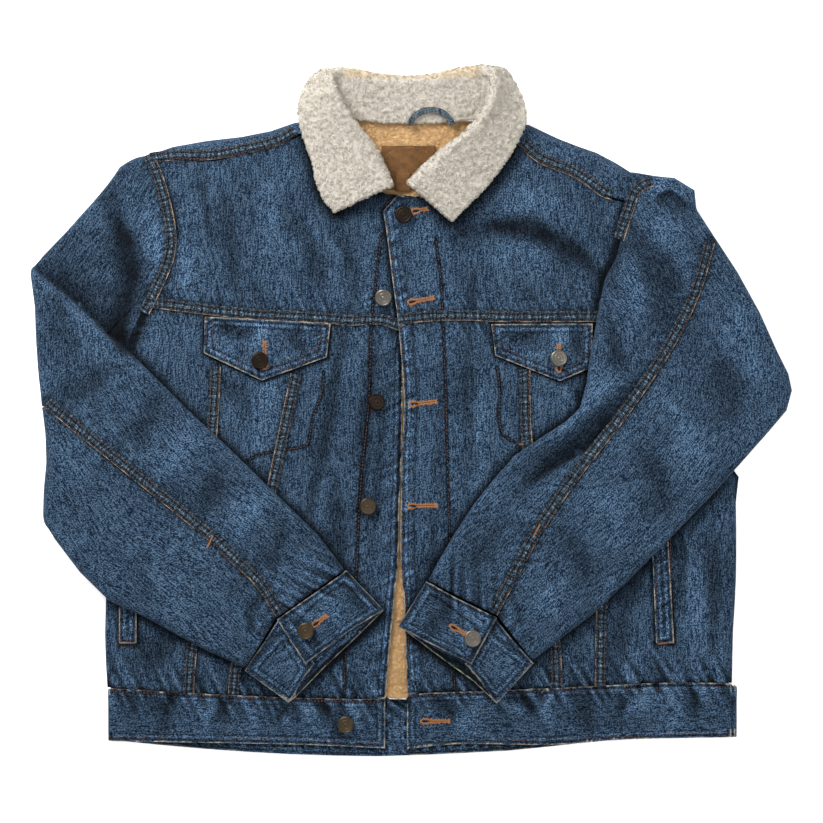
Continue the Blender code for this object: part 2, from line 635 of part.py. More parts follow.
def make_back():
    """The back, the yoke that folds over the shoulders, and the pile lining between back and front."""
    low, high, inset = BACK_LOW, BACK_YOKE_SEAM, BACK_EDGE_INSET

    def right_edge(y):
        return read(SIDE_RIGHT if y < SIDE_RIGHT[-1][0] else ARMHOLE_RIGHT, y)

    def left_edge(y):
        return read(SIDE_LEFT if y < SIDE_LEFT[-1][0] else ARMHOLE_LEFT, y)

    heights = [between(low, high, t) for t in steps(LOWER_ROWS)]
    left = [Vector((right_edge(y) + inset, y)) for y in heights]
    right = [Vector((left_edge(y) - inset, y)) for y in heights]
    bottom = [between(left[0], right[0], t) for t in steps(4)]
    top = [between(left[-1], right[-1], t) for t in steps(4)]
    slab("back_panel", laid(trim(patch(left, right, bottom, top)), lambda x, y: BACKING), BACKING, denim)

    rows = []
    for station, (seam_x, seam_y, fold_x, fold_y) in enumerate(SHOULDERS):
        part = station / (len(SHOULDERS) - 1)
        if NECK_STATIONS[0] <= station <= NECK_STATIONS[1]:
            start = Vector((seam_x, seam_y, BACKING / 2))
            stop = Vector((fold_x, fold_y - NECK_TURN, BACKING / 2))
            strip = [between(start, stop, t) for t in steps(5)]
        else:
            seam_point = Vector((seam_x, seam_y, front_height(seam_x, seam_y) - BACKING / 2))
            fold_point = Vector((fold_x, fold_y, EDGE_TOP))
            out = (fold_point - seam_point).to_2d().normalized().to_3d()
            strip = [seam_point]
            for part_way in FOLD_PARTS:
                plan = between(seam_point, fold_point, part_way)
                strip.append(Vector((plan.x, plan.y, front_height(plan.x, plan.y) - BACKING / 2)))
            strip.append(fold_point - out * BACKING / 2)
            strip.append(Vector((fold_x, fold_y, BACKING)) - out * FOLD_TUCK[0])
            strip.append(Vector((fold_x, fold_y, BACKING / 2)) - out * FOLD_TUCK[1])
        start = strip[-1]
        seam_x = between(right_edge(high) + inset, left_edge(high) - inset, part)
        stop = Vector((seam_x, high + SEAM_GAP, start.z))
        for t in steps(YOKE_ROWS)[1:]:
            point = between(start, stop, t)
            bow = (right_edge(point.y) + inset - point.x) * (1 - part) ** 6 * (part < 0.5)
            bow += (left_edge(point.y) - inset - point.x) * part ** 6 * (part > 0.5)
            strip.append(point + Vector((bow, 0, 0)))
        rows.append(strip)
    wall("back_yoke", rows, BACKING, denim)

    def lining_top(x, y):
        return front_height(x, y, LINING_CREASES) - DENIM - LINING_GAP

    heights = [between(low + 3, CHEST_RIGHT[0][1], t) for t in steps(LINING_ROWS)]
    heights += [between(heights[-1], LINING_SHOULDER[0], t) for t in steps(5)[1:]]
    left = [Vector((right_edge(y) + LINING_INSET, y)) for y in heights]
    right = [Vector((left_edge(min(y, LINING_UNDERARM)) - LINING_INSET, y)) for y in heights]
    left[-1].y = LINING_SHOULDER[1]
    bottom = [between(left[0], right[0], t) for t in LINING_COLUMNS]
    for point in bottom:
        point.y = max(point.y, read(WAIST, point.x) + 1)
    left[0], right[0] = bottom[0], bottom[-1]
    top = smooth([left[-1], *LINING_NECK, right[-1]], LINING_COLUMNS)
    rows = laid(patch(left, right, bottom, top), lining_top)
    slab("back_lining", rows, DENIM, tan_pile, floor=BACKING + LAID_GAP)


def make_waistband():
    """One doubled strip from the button end round the back to the buttonhole end."""
    half = BAND / 2
    rows = []

    def front(x):
        top, hem = read(WAIST, x) - SEAM_GAP, read(BAND_HEM, x)
        row = []
        for t in steps(2):
            row.append(Vector((x, between(top, hem, t), between(BAND_TOP_Z, BAND_HEM_Z, t) - half)))
        rows.append(row)

    def back(x):
        rows.append([Vector((x, between(BACK_LOW - 1, read(BACK_HEM, x), t), half)) for t in steps(2)])

    def fold(x, out):
        for turn in (45, 90, 135):
            top = between(read(WAIST, x) - SEAM_GAP, BACK_LOW - 1, turn / 180)
            hem = between(read(BAND_HEM, x), read(BACK_HEM, x), turn / 180)
            lift, reach = math.cos(math.radians(turn)), math.sin(math.radians(turn))
            row = []
            for t in steps(2):
                high = between(BAND_TOP_Z, BAND_HEM_Z, t) - half
                middle, radius = (high + half) / 2, (high - half) / 2
                y = between(top, hem, t)
                row.append(Vector((x + out * (BAND_FOLD * reach - BAND_FOLD), y, middle + radius * lift)))
            rows.append(row)

    left_side, right_side = BAND_SIDES[1] - half, BAND_SIDES[0] + half
    for t in steps(11):
        front(between(BAND_ENDS[0], right_side + BAND_FOLD + 2, t))
    fold(right_side, -1)
    for t in steps(14):
        back(between(right_side + BAND_FOLD + 2, left_side - BAND_FOLD - 2, t))
    fold(left_side, 1)
    for t in steps(13):
        front(between(left_side - BAND_FOLD - 2, BAND_ENDS[1], t))
    wall("waistband", rows, BAND, denim)


def sleeve_point(ring, along, face, creases, depth):
    """A point of a sleeve's section: so far along from the inner edge, on a face, and so deep in the wall."""
    first, second = (ring["seam"] - ring["inner"]).length, (ring["outer"] - ring["seam"]).length
    whole = first + second
    held = first if face == "outer" else whole * ring["split"]
    if along <= held:
        along = depth + along * (held - depth) / held
    else:
        along = held + (along - held) * (whole - held - depth) / (whole - held)
    if along <= first:
        plan = between(ring["inner"], ring["seam"], along / first)
    else:
        plan = between(ring["seam"], ring["outer"], (along - first) / second)
    across = (ring["outer"] - ring["inner"]).normalized()
    plan = plan + Vector((-across.y, across.x)) * read(ARMHOLE_BOW, along / whole) * ring["bow"]
    near = (min(along, whole - along) - depth) / (SLEEVE_EDGE_ROUND - depth)
    near = min(max(near, 0.0), 1.0)
    crown = math.sqrt(1 - (1 - near) ** 2)
    edge = between(1 - EDGE_LOW, EDGE_LOW, ring["turned"]) * ring["thick"]
    low, high = depth, ring["thick"] - depth
    edge = min(max(edge, low), high)
    if face == "inner":
        height = between(edge, low, crown)
    else:
        height = between(edge, high, crown)
        if ring["turned"] == 1.0:
            height += creased(plan.x, plan.y, creases) * near
    return ring["surface"](plan, along / whole) + ring["normal"] * height


def edge_places(length):
    """Places along a sleeve's section from one edge: close together round the edge, then even."""
    full = min(SLEEVE_EDGE_ROUND, length * EDGE_MOST)
    return [0.0, full * EDGE_FIRST, full] + [between(full, length, t) for t in steps(4)[1:]]


def make_sleeve(side, rings, creases):
    """A flat two-piece tube through rings, cut along the elbow seam and a hidden seam under it."""
    grids = {"top": ([], []), "under": ([], [])}
    for i, ring in enumerate(rings):
        seam_run = (rings[min(i + 1, len(rings) - 1)]["seam"] - rings[max(i - 1, 0)]["seam"]).normalized()
        ring_run = (ring["outer"] - ring["inner"]).normalized()
        half_gap = SLEEVE_SEAM_GAP / 2 / max(abs(seam_run.cross(ring_run)), LEAST_SLANT)
        first, second = (ring["seam"] - ring["inner"]).length, (ring["outer"] - ring["seam"]).length
        whole = first + second
        hidden_top = edge_places(whole * ring["split"])
        hidden_under = edge_places(whole * (1 - ring["split"]))
        to_seam = edge_places(first)
        from_seam = [whole - place for place in edge_places(second)][::-1]
        to_seam[-1] -= half_gap
        from_seam[0] += half_gap
        hidden_top[-1] -= half_gap
        hidden_under[-1] -= half_gap
        top = [(place, "inner") for place in reversed(hidden_top[1:])]
        top += [(place, "outer") for place in to_seam]
        under = [(place, "outer") for place in from_seam]
        under += [(whole - place, "inner") for place in hidden_under[1:]]
        for piece, section in (("top", top), ("under", under)):
            for grid, depth in zip(grids[piece], (0.0, SLEEVE_WALL)):
                grid.append([sleeve_point(ring, place, face, creases, depth) for place, face in section])
    for piece, (outer, inner) in grids.items():
        shell(f"{side}_sleeve_{piece}", outer, inner, denim)


def ring_of(row, outlines, rest):
    """A sleeve section that lies on what is under it, from a row of the tables."""
    inner_x, inner_y, seam_x, seam_y, outer_x, outer_y, thick, bow = row

    def surface(plan, part):
        return Vector((plan.x, plan.y, sleeve_base(plan.x, plan.y, outlines, rest(plan.x, plan.y))))

    return {
        "inner": Vector((inner_x, inner_y)),
        "seam": Vector((seam_x, seam_y)),
        "outer": Vector((outer_x, outer_y)),
        "thick": thick,
        "bow": bow,
        "turned": 1.0,
        "split": SEAM_SPLIT,
        "normal": Vector((0, 0, 1)),
        "surface": surface,
    }


def make_sleeves():
    def rest_left(x, y):
        return lined_height(y) + SLEEVE_REST

    left_rings = [ring_of(row, [BODY_OUTLINE], rest_left) for row in SLEEVE_LEFT]
    make_sleeve("left", left_rings, SLEEVE_CREASES_LEFT)

    fold_thick = UPPER_ARM_RIGHT[-1][6]
    axis_z = TABLE_REST + fold_thick + ELBOW_INNER
    forearm_low = axis_z + ELBOW_INNER
    reach = ELBOW_INNER + fold_thick
    rings = []
    for row in UPPER_ARM_RIGHT:
        ring = ring_of(row, [], None)
        top = TABLE_REST + row[6]
        ring["turned"] = 0.0
        ring["normal"] = Vector((0, 0, -1))
        ring["surface"] = lambda plan, part, top=top: Vector((plan.x, plan.y, top))
        rings.append(ring)
    for turn in range(1, ELBOW_TURNS + 1):
        angle = math.pi * turn / (ELBOW_TURNS + 1)
        part_turned = turn / (ELBOW_TURNS + 1)
        normal = Vector((-math.sin(angle), 0, -math.cos(angle)))
        top_y = between(ELBOW_TOP[0], ELBOW_TOP[1], part_turned)
        bottom_y = between(ELBOW_BOTTOM[0], ELBOW_BOTTOM[1], part_turned)

        def surface(plan, part, normal=normal):
            axis_point = Vector((read(ELBOW_FOLD, part) + reach, plan.y, axis_z))
            return axis_point + normal * ELBOW_INNER

        x = ELBOW_FOLD[0][1]
        rings.append({
            "inner": Vector((x, top_y)),
            "seam": Vector((x, between(ELBOW_SEAM[0], ELBOW_SEAM[1], part_turned))),
            "outer": Vector((x, bottom_y)),
            "thick": fold_thick,
            "bow": 0.0,
            "turned": part_turned,
            "split": SEAM_SPLIT,
            "normal": normal,
            "surface": surface,
        })

    def rest_right(x, y):
        inward = ease((x - FOLD_OUTWARD[0]) / FOLD_OUTWARD[1])
        return between(forearm_low, lined_height(y) + SLEEVE_REST, inward)

    for row in FOREARM_RIGHT:
        rings.append(ring_of(row, [BODY_OUTLINE, ARM_OUTLINE], rest_right))
    first = len(UPPER_ARM_RIGHT) - 1
    for ring in rings[first:first + ELBOW_TURNS + 2]:
        top, bottom = ring["inner"].y, ring["outer"].y
        ring["split"] = (top - ELBOW_HIDDEN_SEAM) / (top - bottom)
    make_sleeve("right", rings, SLEEVE_CREASES_RIGHT)


def make_cuffs():
    for name, table, flip in (("right_cuff", CUFF_RIGHT, False), ("left_cuff", CUFF_LEFT, True)):
        rows = []
        for seam_x, seam_y, hand_x, hand_y, z in table:
            seam, hand = Vector((seam_x, seam_y, z)), Vector((hand_x, hand_y, z))
            out = (hand - seam).normalized()
            rows.append([between(seam + out * CUFF_GAP, hand, t) for t in steps(2)])
        wall(name, rows, BAND, denim, flip=flip)


def make_collar():
    """A fleece collar: stand from the neck seam up to the roll, then the fall down to the outer edge."""
    rolls = [Vector(row[3:6]) for row in COLLAR]
    sections = []
    for i, row in enumerate(COLLAR):
        neck, roll, edge = Vector(row[0:3]), rolls[i], Vector(row[7:10])
        run = (rolls[min(i + 1, len(rolls) - 1)] - rolls[max(i - 1, 0)]).to_2d().normalized()
        out = Vector((-run.y, run.x, 0))
        lean = math.radians(row[6])
        crest = Vector((0, 0, 1)) * math.cos(lean) - out * math.sin(lean)
        aside = out * math.cos(lean) + Vector((0, 0, 1)) * math.sin(lean)
        heart = roll - crest * ROLL_RADIUS
        section = [neck]
        section.append(between(neck, heart - aside * ROLL_RADIUS, 0.6))
        for turn in (0, 60, 90, 120, 180):
            angle = math.radians(turn)
            reach = crest * math.sin(angle) - aside * math.cos(angle)
            section.append(heart + reach * ROLL_RADIUS)
        fall_start = section[-1]
        section += [between(fall_start, edge, t) for t in (0.3, 0.6, 0.85, 1.0)]
        sections.append(section)
    smoothed = []
    places = steps(30)
    columns = [smooth([section[k] for section in sections], places) for k in range(len(sections[0]))]
    for j in range(len(places)):
        smoothed.append([column[j] for column in columns])
    wall("collar", smoothed, PILE, white_pile)


def over_flap(x, y):
    """Height of a pocket flap's top where it lies on the front."""
    return front_height(x, y) + LAID_GAP + FLAP


def over_welt(x, y):
    """Height of a welt's top where it lies on the front."""
    return front_height(x, y) + WELT_GAP + WELT


def make_pockets():
    for side, flap, welt in (("right", FLAP_RIGHT, WELT_RIGHT), ("left", FLAP_LEFT, WELT_LEFT)):
        top = [between(Vector(flap["top"][0]), Vector(flap["top"][1]), t) for t in steps(8)]
        low, point, high = (Vector(corner) for corner in flap["bottom"])
        bottom = [between(low, point, t) for t in steps(4)] + [between(point, high, t) for t in steps(4)[1:]]
        left = [between(bottom[0], top[0], t) for t in steps(4)]
        right = [between(bottom[-1], top[-1], t) for t in steps(4)]
        slab(f"{side}_pocket_flap", laid(patch(left, right, bottom, top), over_flap), FLAP, denim)
        top_left, top_right, low_left, low_right = (Vector(corner) for corner in welt)
        top = [between(top_left, top_right, t) for t in steps(2)]
        bottom = [between(low_left, low_right, t) for t in steps(2)]
        left = [between(low_left, top_left, t) for t in steps(8)]
        right = [between(low_right, top_right, t) for t in steps(8)]
        slab(f"{side}_welt", laid(patch(left, right, bottom, top), over_welt), WELT, denim)


def make_button(name, x, y, z):
    """A metal shank button: a domed cap with a rolled rim on a short neck."""
    radius, neck = BUTTON_ACROSS / 2, BUTTON_NECK / 2
    profile = [
        (0, BUTTON_TALL), (radius * 0.45, BUTTON_TALL - 0.25), (radius * 0.8, BUTTON_TALL - 0.9),
        (radius, BUTTON_TALL - 2.0), (radius * 0.96, BUTTON_TALL - 2.9), (neck, BUTTON_TALL - 3.1),
        (neck, 0.0), (0, 0.0),
    ]
    mesh = bpy.data.meshes.new(name)
    points = [(r * MM, 0, h * MM) for r, h in profile]
    mesh.from_pydata(points, [(i, i + 1) for i in range(len(points) - 1)], [])
    mesh.materials.append(brass)
    button = bpy.data.objects.new(name, mesh)
    jacket.objects.link(button)
    screw = button.modifiers.new("Turn", "SCREW")
    screw.steps = BUTTON_STEPS
    screw.render_steps = BUTTON_STEPS
    screw.use_merge_vertices = True
    screw.merge_threshold = 0.00001
    button.location = (x * MM, y * MM, z * MM)


def make_buttons():
    for number, (x, y) in enumerate(FRONT_BUTTONS, 2):
        make_button(f"front_button_{number}", x, y, front_height(x, y) + SHANK_GAP)
    x, y = TOP_BUTTON
    make_button("front_button_1", x, y, front_height(x, y) + overlap_rise(x, y) + SHANK_GAP)
    x, y = WAIST_BUTTON
    part = (y - read(WAIST, x)) / (read(BAND_HEM, x) - read(WAIST, x))
    make_button("front_button_5", x, y, between(BAND_TOP_Z, BAND_HEM_Z, part) + BAND_SHANK_GAP)
    for side, (x, y) in (("right", FLAP_BUTTON_RIGHT), ("left", FLAP_BUTTON_LEFT)):
        make_button(f"{side}_flap_button", x, y, front_height(x, y) + FLAP + FLAP_SHANK_GAP)
    for side, (x, y) in (("right", CUFF_BUTTON_RIGHT), ("left", CUFF_BUTTON_LEFT)):
        make_button(f"{side}_cuff_button", x, y, CUFF_BUTTON_Z + BAND / 2 + LAID_GAP)


def make_label():
    """The woven patch at the neck with its size tab, and the denim loop over the collar seam."""
    for name, (x0, y0, x1, y1), layers in (("label", LABEL, 1), ("size_tab", SIZE_TAB, 2)):
        rows = [[Vector((between(x0, x1, u), between(y0, y1, v))) for u in steps(5)] for v in steps(4)]
        lift = layers * (LAID_GAP + LABEL_THICK) - DENIM - LINING_GAP
        rows = [[Vector((point.x, point.y, front_height(*point) + lift)) for point in row] for row in rows]
        slab(name, rows, LABEL_THICK, patch_leather)
    path = smooth([Vector(point) for point in LOOP], steps(16))
    rows = []
    for i, point in enumerate(path):
        run = (path[min(i + 1, len(path) - 1)] - path[max(i - 1, 0)]).to_2d().normalized()
        across = Vector((-run.y, run.x, 0)) * LOOP_WIDTH / 2
        rows.append([point - across, point + across])
    wall("hanger_loop", rows, STRAP, denim)


def material(name, colour, roughness, metallic=0.0):
    made = bpy.data.materials.new(name)
    made.use_nodes = True
    shader = made.node_tree.nodes["Principled BSDF"]
    shader.inputs["Base Color"].default_value = (*colour, 1.0)
    shader.inputs["Roughness"].default_value = roughness
    shader.inputs["Metallic"].default_value = metallic
    made.diffuse_color = (*colour, 1.0)
    return made


for thing in list(bpy.data.objects):
    bpy.data.objects.remove(thing, do_unlink=True)
jacket = bpy.data.collections.new("sherpa_lined_jacket")
bpy.context.scene.collection.children.link(jacket)

denim = material("denim", (0.045, 0.095, 0.19), 0.9)
white_pile = material("white_pile", (0.72, 0.69, 0.63), 1.0)
tan_pile = material("tan_pile", (0.60, 0.40, 0.20), 1.0)
brass = material("brass", (0.20, 0.15, 0.09), 0.4, metallic=1.0)
patch_leather = material("patch", (0.16, 0.09, 0.03), 0.7)

make_back()
make_fronts()
make_pockets()
make_waistband()
make_sleeves()
make_cuffs()
make_collar()
make_label()
make_buttons()
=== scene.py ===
"""A sherpa lined denim jacket, laid flat on its back: every piece's finish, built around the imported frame.

The frame is in metres. Places on the jacket are named in millimetres, x across the front towards the wearer's
left and y from the hem to the collar, and a piece's height is read from what it lies on.
"""

import math
import random

import bmesh
import bpy
import numpy as np
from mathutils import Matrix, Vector, noise
from mathutils.bvhtree import BVHTree
from mathutils.kdtree import KDTree


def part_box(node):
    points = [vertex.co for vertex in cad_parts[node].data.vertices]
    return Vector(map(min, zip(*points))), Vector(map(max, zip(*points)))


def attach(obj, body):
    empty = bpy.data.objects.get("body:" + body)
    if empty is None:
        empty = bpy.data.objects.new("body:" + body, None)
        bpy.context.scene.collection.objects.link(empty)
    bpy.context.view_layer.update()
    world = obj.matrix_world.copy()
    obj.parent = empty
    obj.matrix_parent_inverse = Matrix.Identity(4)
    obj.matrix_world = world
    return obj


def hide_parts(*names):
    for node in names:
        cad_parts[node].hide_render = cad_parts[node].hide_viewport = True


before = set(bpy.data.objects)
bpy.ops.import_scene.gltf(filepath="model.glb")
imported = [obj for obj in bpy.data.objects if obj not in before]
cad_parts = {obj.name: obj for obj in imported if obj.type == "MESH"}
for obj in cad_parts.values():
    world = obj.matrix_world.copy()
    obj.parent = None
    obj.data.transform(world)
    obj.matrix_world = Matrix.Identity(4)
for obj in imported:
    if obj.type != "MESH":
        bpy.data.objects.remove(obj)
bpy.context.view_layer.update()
MM = 0.001
noise.seed_set(1)  # noise vectors are offset by this seed, or else by the clock
bpy.ops.object.select_all(action="DESELECT")

# --------------------------------------------------------------------------------------------------
# The surface, the light and the camera. The jacket lies on a plain white table under large soft lamps,
# and the camera looks straight down on it through a long lens.

TABLE_WHITE = (0.93, 0.93, 0.93)
TABLE_SIZE = 8
TABLE_GLOW = 0.6
ROOM_LIGHT = (0.95, 0.97, 1.0)
ROOM_STRENGTH = 0.36
CAMERA_HEIGHT = 3.0
VIEW_WIDTH = 0.823
LENS = 100.0
JACKET_TOP = 0.02
LAMPS = [
    # x, y, height, size, power: the main lamp stands behind the collar, a fainter one fills from the hem
    (-0.95, 1.35, 1.15, 0.8, 42.0),
    (1.3, 0.4, 1.4, 1.2, 9.0),
    (0.2, -1.3, 1.9, 1.6, 9.0),
]


def shader(material, **values):
    """A material's Principled shader, with plain values set on its own sockets."""
    material.use_nodes = True
    principled = material.node_tree.nodes["Principled BSDF"]
    for name, value in values.items():
        principled.inputs[name.replace("_", " ")].default_value = value
    return principled


table_white = bpy.data.materials.new("table_white")
shader(table_white, Base_Color=(*TABLE_WHITE, 1), Roughness=0.9, Emission_Color=(1, 1, 1, 1),
       Emission_Strength=TABLE_GLOW)
bpy.ops.mesh.primitive_plane_add(size=TABLE_SIZE)
table = bpy.context.object
table.name = "table"
table.data.materials.append(table_white)

for x, y, height, size, power in LAMPS:
    bpy.ops.object.light_add(type="AREA", location=(x, y, height))
    lamp = bpy.context.object
    lamp.data.size = size
    lamp.data.energy = power
    lamp.rotation_euler = (Vector((0, 0, 0)) - lamp.location).to_track_quat("-Z", "Y").to_euler()
world = bpy.data.worlds.new("room")
world.use_nodes = True
background = world.node_tree.nodes["Background"]
background.inputs["Color"].default_value = (*ROOM_LIGHT, 1)
background.inputs["Strength"].default_value = ROOM_STRENGTH
bpy.context.scene.world = world
bpy.context.scene.view_settings.view_transform = "Standard"

bpy.ops.object.camera_add(location=(0, 0, CAMERA_HEIGHT), rotation=(0, 0, 0))
camera = bpy.context.object
camera.data.lens = LENS
camera.data.sensor_width = VIEW_WIDTH / (CAMERA_HEIGHT - JACKET_TOP) * LENS
bpy.context.scene.camera = camera

# --------------------------------------------------------------------------------------------------
# Denim: mid-blue warp over pale weft, slubbed and washed. The twill runs across the grain, folded edges
# are worn to the cream weft, and ridges are paler than hollows: partly wear, partly painted highlight and
# painted shade.

DEEP_BLUE = (0.002, 0.007, 0.020)
MID_BLUE = (0.016, 0.036, 0.068)
PALE_BLUE = (0.088, 0.150, 0.232)
CREAM_WEFT = (0.42, 0.39, 0.32)
TWILL_TILT = math.radians(-30)
TWILL_SHARE = 0.68
CLOUD_DEPTH = 0.7
RELIEF_SHADE = 1.5  # painted shade and highlight: how many times cloth doubles in paleness for each step of its relief
RAGGED = 1.3  # how far the worn edges and the shades of stitches stray, in mm
RUB_AND_HIGHLIGHT_RELIEF = 0.5  # the relief above which cloth turns to its cream weft: rubbed bare, and a painted highlight
WORN_EDGE = 1.1  # how far wear reaches from a folded edge, in mm
EDGE_SHADE_LINES = [
    # distance from a worn edge, half-width and depth: painted shade in the grooves of two rows of stitches,
    # and a painted highlight on the ridge between them
    (2.7, 1.5, -1.2),
    (8.2, 1.5, -1.0),
    (5.5, 2.0, 0.5),
]
# Painted shade in the groove of a row of stitches: its place, half-width and depth.
ROW_SHADE_LINE = (0.0, 2.6, -2.4)


class Field:
    """A value or a colour in a material's node tree, which takes part in sums as a number does."""

    def __init__(self, material, socket):
        self.material = material
        self.socket = socket

    def joined(self, operation, first, second=0.0):
        """The output of a Math node on two fields or numbers."""
        made = add_node(self.material, "ShaderNodeMath", operation=operation)
        plug(self.material, made.inputs[0], first)
        plug(self.material, made.inputs[1], second)
        return Field(self.material, made.outputs[0])

    def __add__(self, other):
        return self.joined("ADD", self, other)

    def __sub__(self, other):
        return self.joined("SUBTRACT", self, other)

    def __rsub__(self, other):
        return self.joined("SUBTRACT", other, self)

    def __mul__(self, other):
        return self.joined("MULTIPLY", self, other)

    def __truediv__(self, other):
        return self.joined("DIVIDE", self, other)

    def __rpow__(self, other):
        return self.joined("POWER", other, self)

    def __abs__(self):
        return self.joined("ABSOLUTE", self)

    def clamped(self):
        """The same value, kept between 0 and 1."""
        self.socket.node.use_clamp = True
        return self


def plug(material, socket, value):
    """Gives an input a field, another node's output, a number or a colour."""
    if isinstance(value, Field):
        value = value.socket
    if isinstance(value, bpy.types.NodeSocket):
        material.node_tree.links.new(value, socket)
    else:
        socket.default_value = (*value, 1) if isinstance(value, tuple) else value


def add_node(material, kind, **settings):
    """A node of a material, with its settings and the default values of its inputs."""
    made = material.node_tree.nodes.new(kind)
    for name, value in settings.items():
        if name.startswith("in_"):
            made.inputs[name[3:].replace("_", " ")].default_value = value
        else:
            setattr(made, name, value)
    return made


def read_attribute(material, name, output="Fac"):
    """What a piece's mesh holds under a name."""
    made = add_node(material, "ShaderNodeAttribute", attribute_name=name)
    return Field(material, made.outputs[output])


def mixed(share, first, second, blend="MIX"):
    """A colour mixed from two others by a share."""
    material = first.material
    made = add_node(material, "ShaderNodeMix", data_type="RGBA", blend_type=blend)
    for number, value in ((0, share), (6, first), (7, second)):
        plug(material, made.inputs[number], value)
    return Field(material, made.outputs[2])


def ramp(value, stops):
    """A colour ramp through (place, colour) stops."""
    made = add_node(value.material, "ShaderNodeValToRGB")
    elements = made.color_ramp.elements
    while len(elements) < len(stops):
        elements.new(0.5)
    for element, (place, colour) in zip(elements, stops):
        element.position = place
        element.color = (*colour, 1)
    plug(value.material, made.inputs[0], value)
    return Field(value.material, made.outputs[0])


def streaks(vector, size, tilt, detail, roughness=0.6):
    """Noise drawn out to a size in millimetres, turned by a tilt."""
    material = vector.material
    turned = add_node(material, "ShaderNodeMapping")
    turned.inputs["Rotation"].default_value = (0, 0, tilt)
    plug(material, turned.inputs["Vector"], vector)
    scaled = add_node(material, "ShaderNodeVectorMath", operation="MULTIPLY")
    plug(material, scaled.inputs[0], turned.outputs[0])
    scaled.inputs[1].default_value = (1 / size[0], 1 / size[1], 1 / size[0])
    made = add_node(material, "ShaderNodeTexNoise", in_Scale=1.0, in_Detail=detail, in_Roughness=roughness)
    plug(material, made.inputs["Vector"], scaled.outputs[0])
    return Field(material, made.outputs["Fac"])


def line_shade(distance, place, half_width, depth):
    """A painted line of shade, or of highlight for a depth above zero, at a distance from an edge: its depth
    at its middle, and nothing half its width away.
    """
    return (1.0 - abs(distance - place) / half_width).clamped() * depth


def press(principled, height, strength, distance):
    """Gives a shader the bump of a field."""
    bump = add_node(height.material, "ShaderNodeBump", in_Strength=strength, in_Distance=distance)
    plug(height.material, bump.inputs["Height"], height)
    plug(height.material, principled.inputs["Normal"], bump.outputs[0])


def make_denim(name, shade=None):
    """Denim that reads its grain, its distance to a folded edge and its relief from the piece's mesh; the
    relief also carries painted shade and painted highlight.
    """
    material = bpy.data.materials.new(name)
    principled = shader(material, Roughness=0.9, Specular_IOR_Level=0.12, Sheen_Weight=0.02,
                        Sheen_Roughness=0.5)
    grain = read_attribute(material, "grain", "Vector")
    edge = read_attribute(material, "edge")
    relief_and_shade = read_attribute(material, "relief_and_shade")
    row = read_attribute(material, "row")

    twill = streaks(grain, (0.78, 1.7), TWILL_TILT, 0.5, 0.5)
    slub = streaks(grain, (0.8, 11.0), 0.0, 0.0)
    fleck = streaks(grain, (1.1, 1.5), 0.6, 0.0)
    patch = streaks(grain, (9.0, 13.0), 0.3, 1.0)
    cloud = streaks(grain, (36.0, 70.0), 0.3, 2.0)
    weave = twill * TWILL_SHARE + slub * (1 - TWILL_SHARE)
    blue = ramp(weave, [(0.38, DEEP_BLUE), (0.49, MID_BLUE), (0.61, PALE_BLUE)])
    rag = (fleck - 0.5) * RAGGED
    # Painted shade and highlight from the relief (which also holds wear), from the stitch grooves and from
    # the ridge between them; the clouds are the cloth's own uneven tone.
    tone = (cloud - 0.5) * CLOUD_DEPTH + relief_and_shade
    for place, half_width, depth in EDGE_SHADE_LINES:
        tone += line_shade(edge + rag, place, half_width, depth)
    tone += line_shade(row + rag, *ROW_SHADE_LINE)
    blue = mixed(1.0, blue, 2.0 ** (tone * RELIEF_SHADE), blend="MULTIPLY")
    # The highest ridges turn to the cream weft: rubbed bare, and a painted highlight.
    blue = mixed(((relief_and_shade - RUB_AND_HIGHLIGHT_RELIEF) * 0.3).clamped(), blue, CREAM_WEFT)

    wear = (patch - 0.45) * 3.0
    fold = (WORN_EDGE - (edge + rag + wear)).clamped()
    colour = mixed(fold * 0.9, blue, CREAM_WEFT)
    if shade:
        colour = mixed(1.0, colour, shade, blend="MULTIPLY")
    plug(material, principled.inputs["Base Color"], colour)
    press(principled, weave, 0.75, 0.00035)
    return material


denim = make_denim("denim")


def along(points, line):
    """For plan points: distance to a line, how far along it that is, and the side, 1 on the line's left."""
    line = np.asarray(line, float)
    best = np.full(len(points), np.inf)
    run, side = np.zeros(len(points)), np.zeros(len(points))
    start = 0.0
    for a, b in zip(line, line[1:]):
        span = b - a
        length = float(np.hypot(*span))
        part = np.clip((points - a) @ span / length**2, 0, 1)
        gap = points - (a + part[:, None] * span)
        reach = np.hypot(gap[:, 0], gap[:, 1])
        nearer = reach < best
        best[nearer], run[nearer] = reach[nearer], (start + part * length)[nearer]
        side[nearer] = np.sign(span[0] * gap[:, 1] - span[1] * gap[:, 0])[nearer]
        start += length
    return best, run, side


WAVE_SHARES = (0.62, 0.83, 1.0, 1.31, 1.9)


def waves(run, length, seed):
    """Uneven waves along a line, from -1 to 1."""
    chance = random.Random(seed)
    total = np.zeros(len(run))
    for share in WAVE_SHARES:
        turn = 2 * math.pi / (length * share * chance.uniform(0.9, 1.1))
        total += np.sin(run * turn + chance.uniform(0, 6.3))
    return total / 3.2


def rumple(points, size, seed):
    """Soft unevenness of a size in millimetres, from -1 to 1."""
    return np.array([noise.noise((x / size, y / size, seed)) for x, y in points])


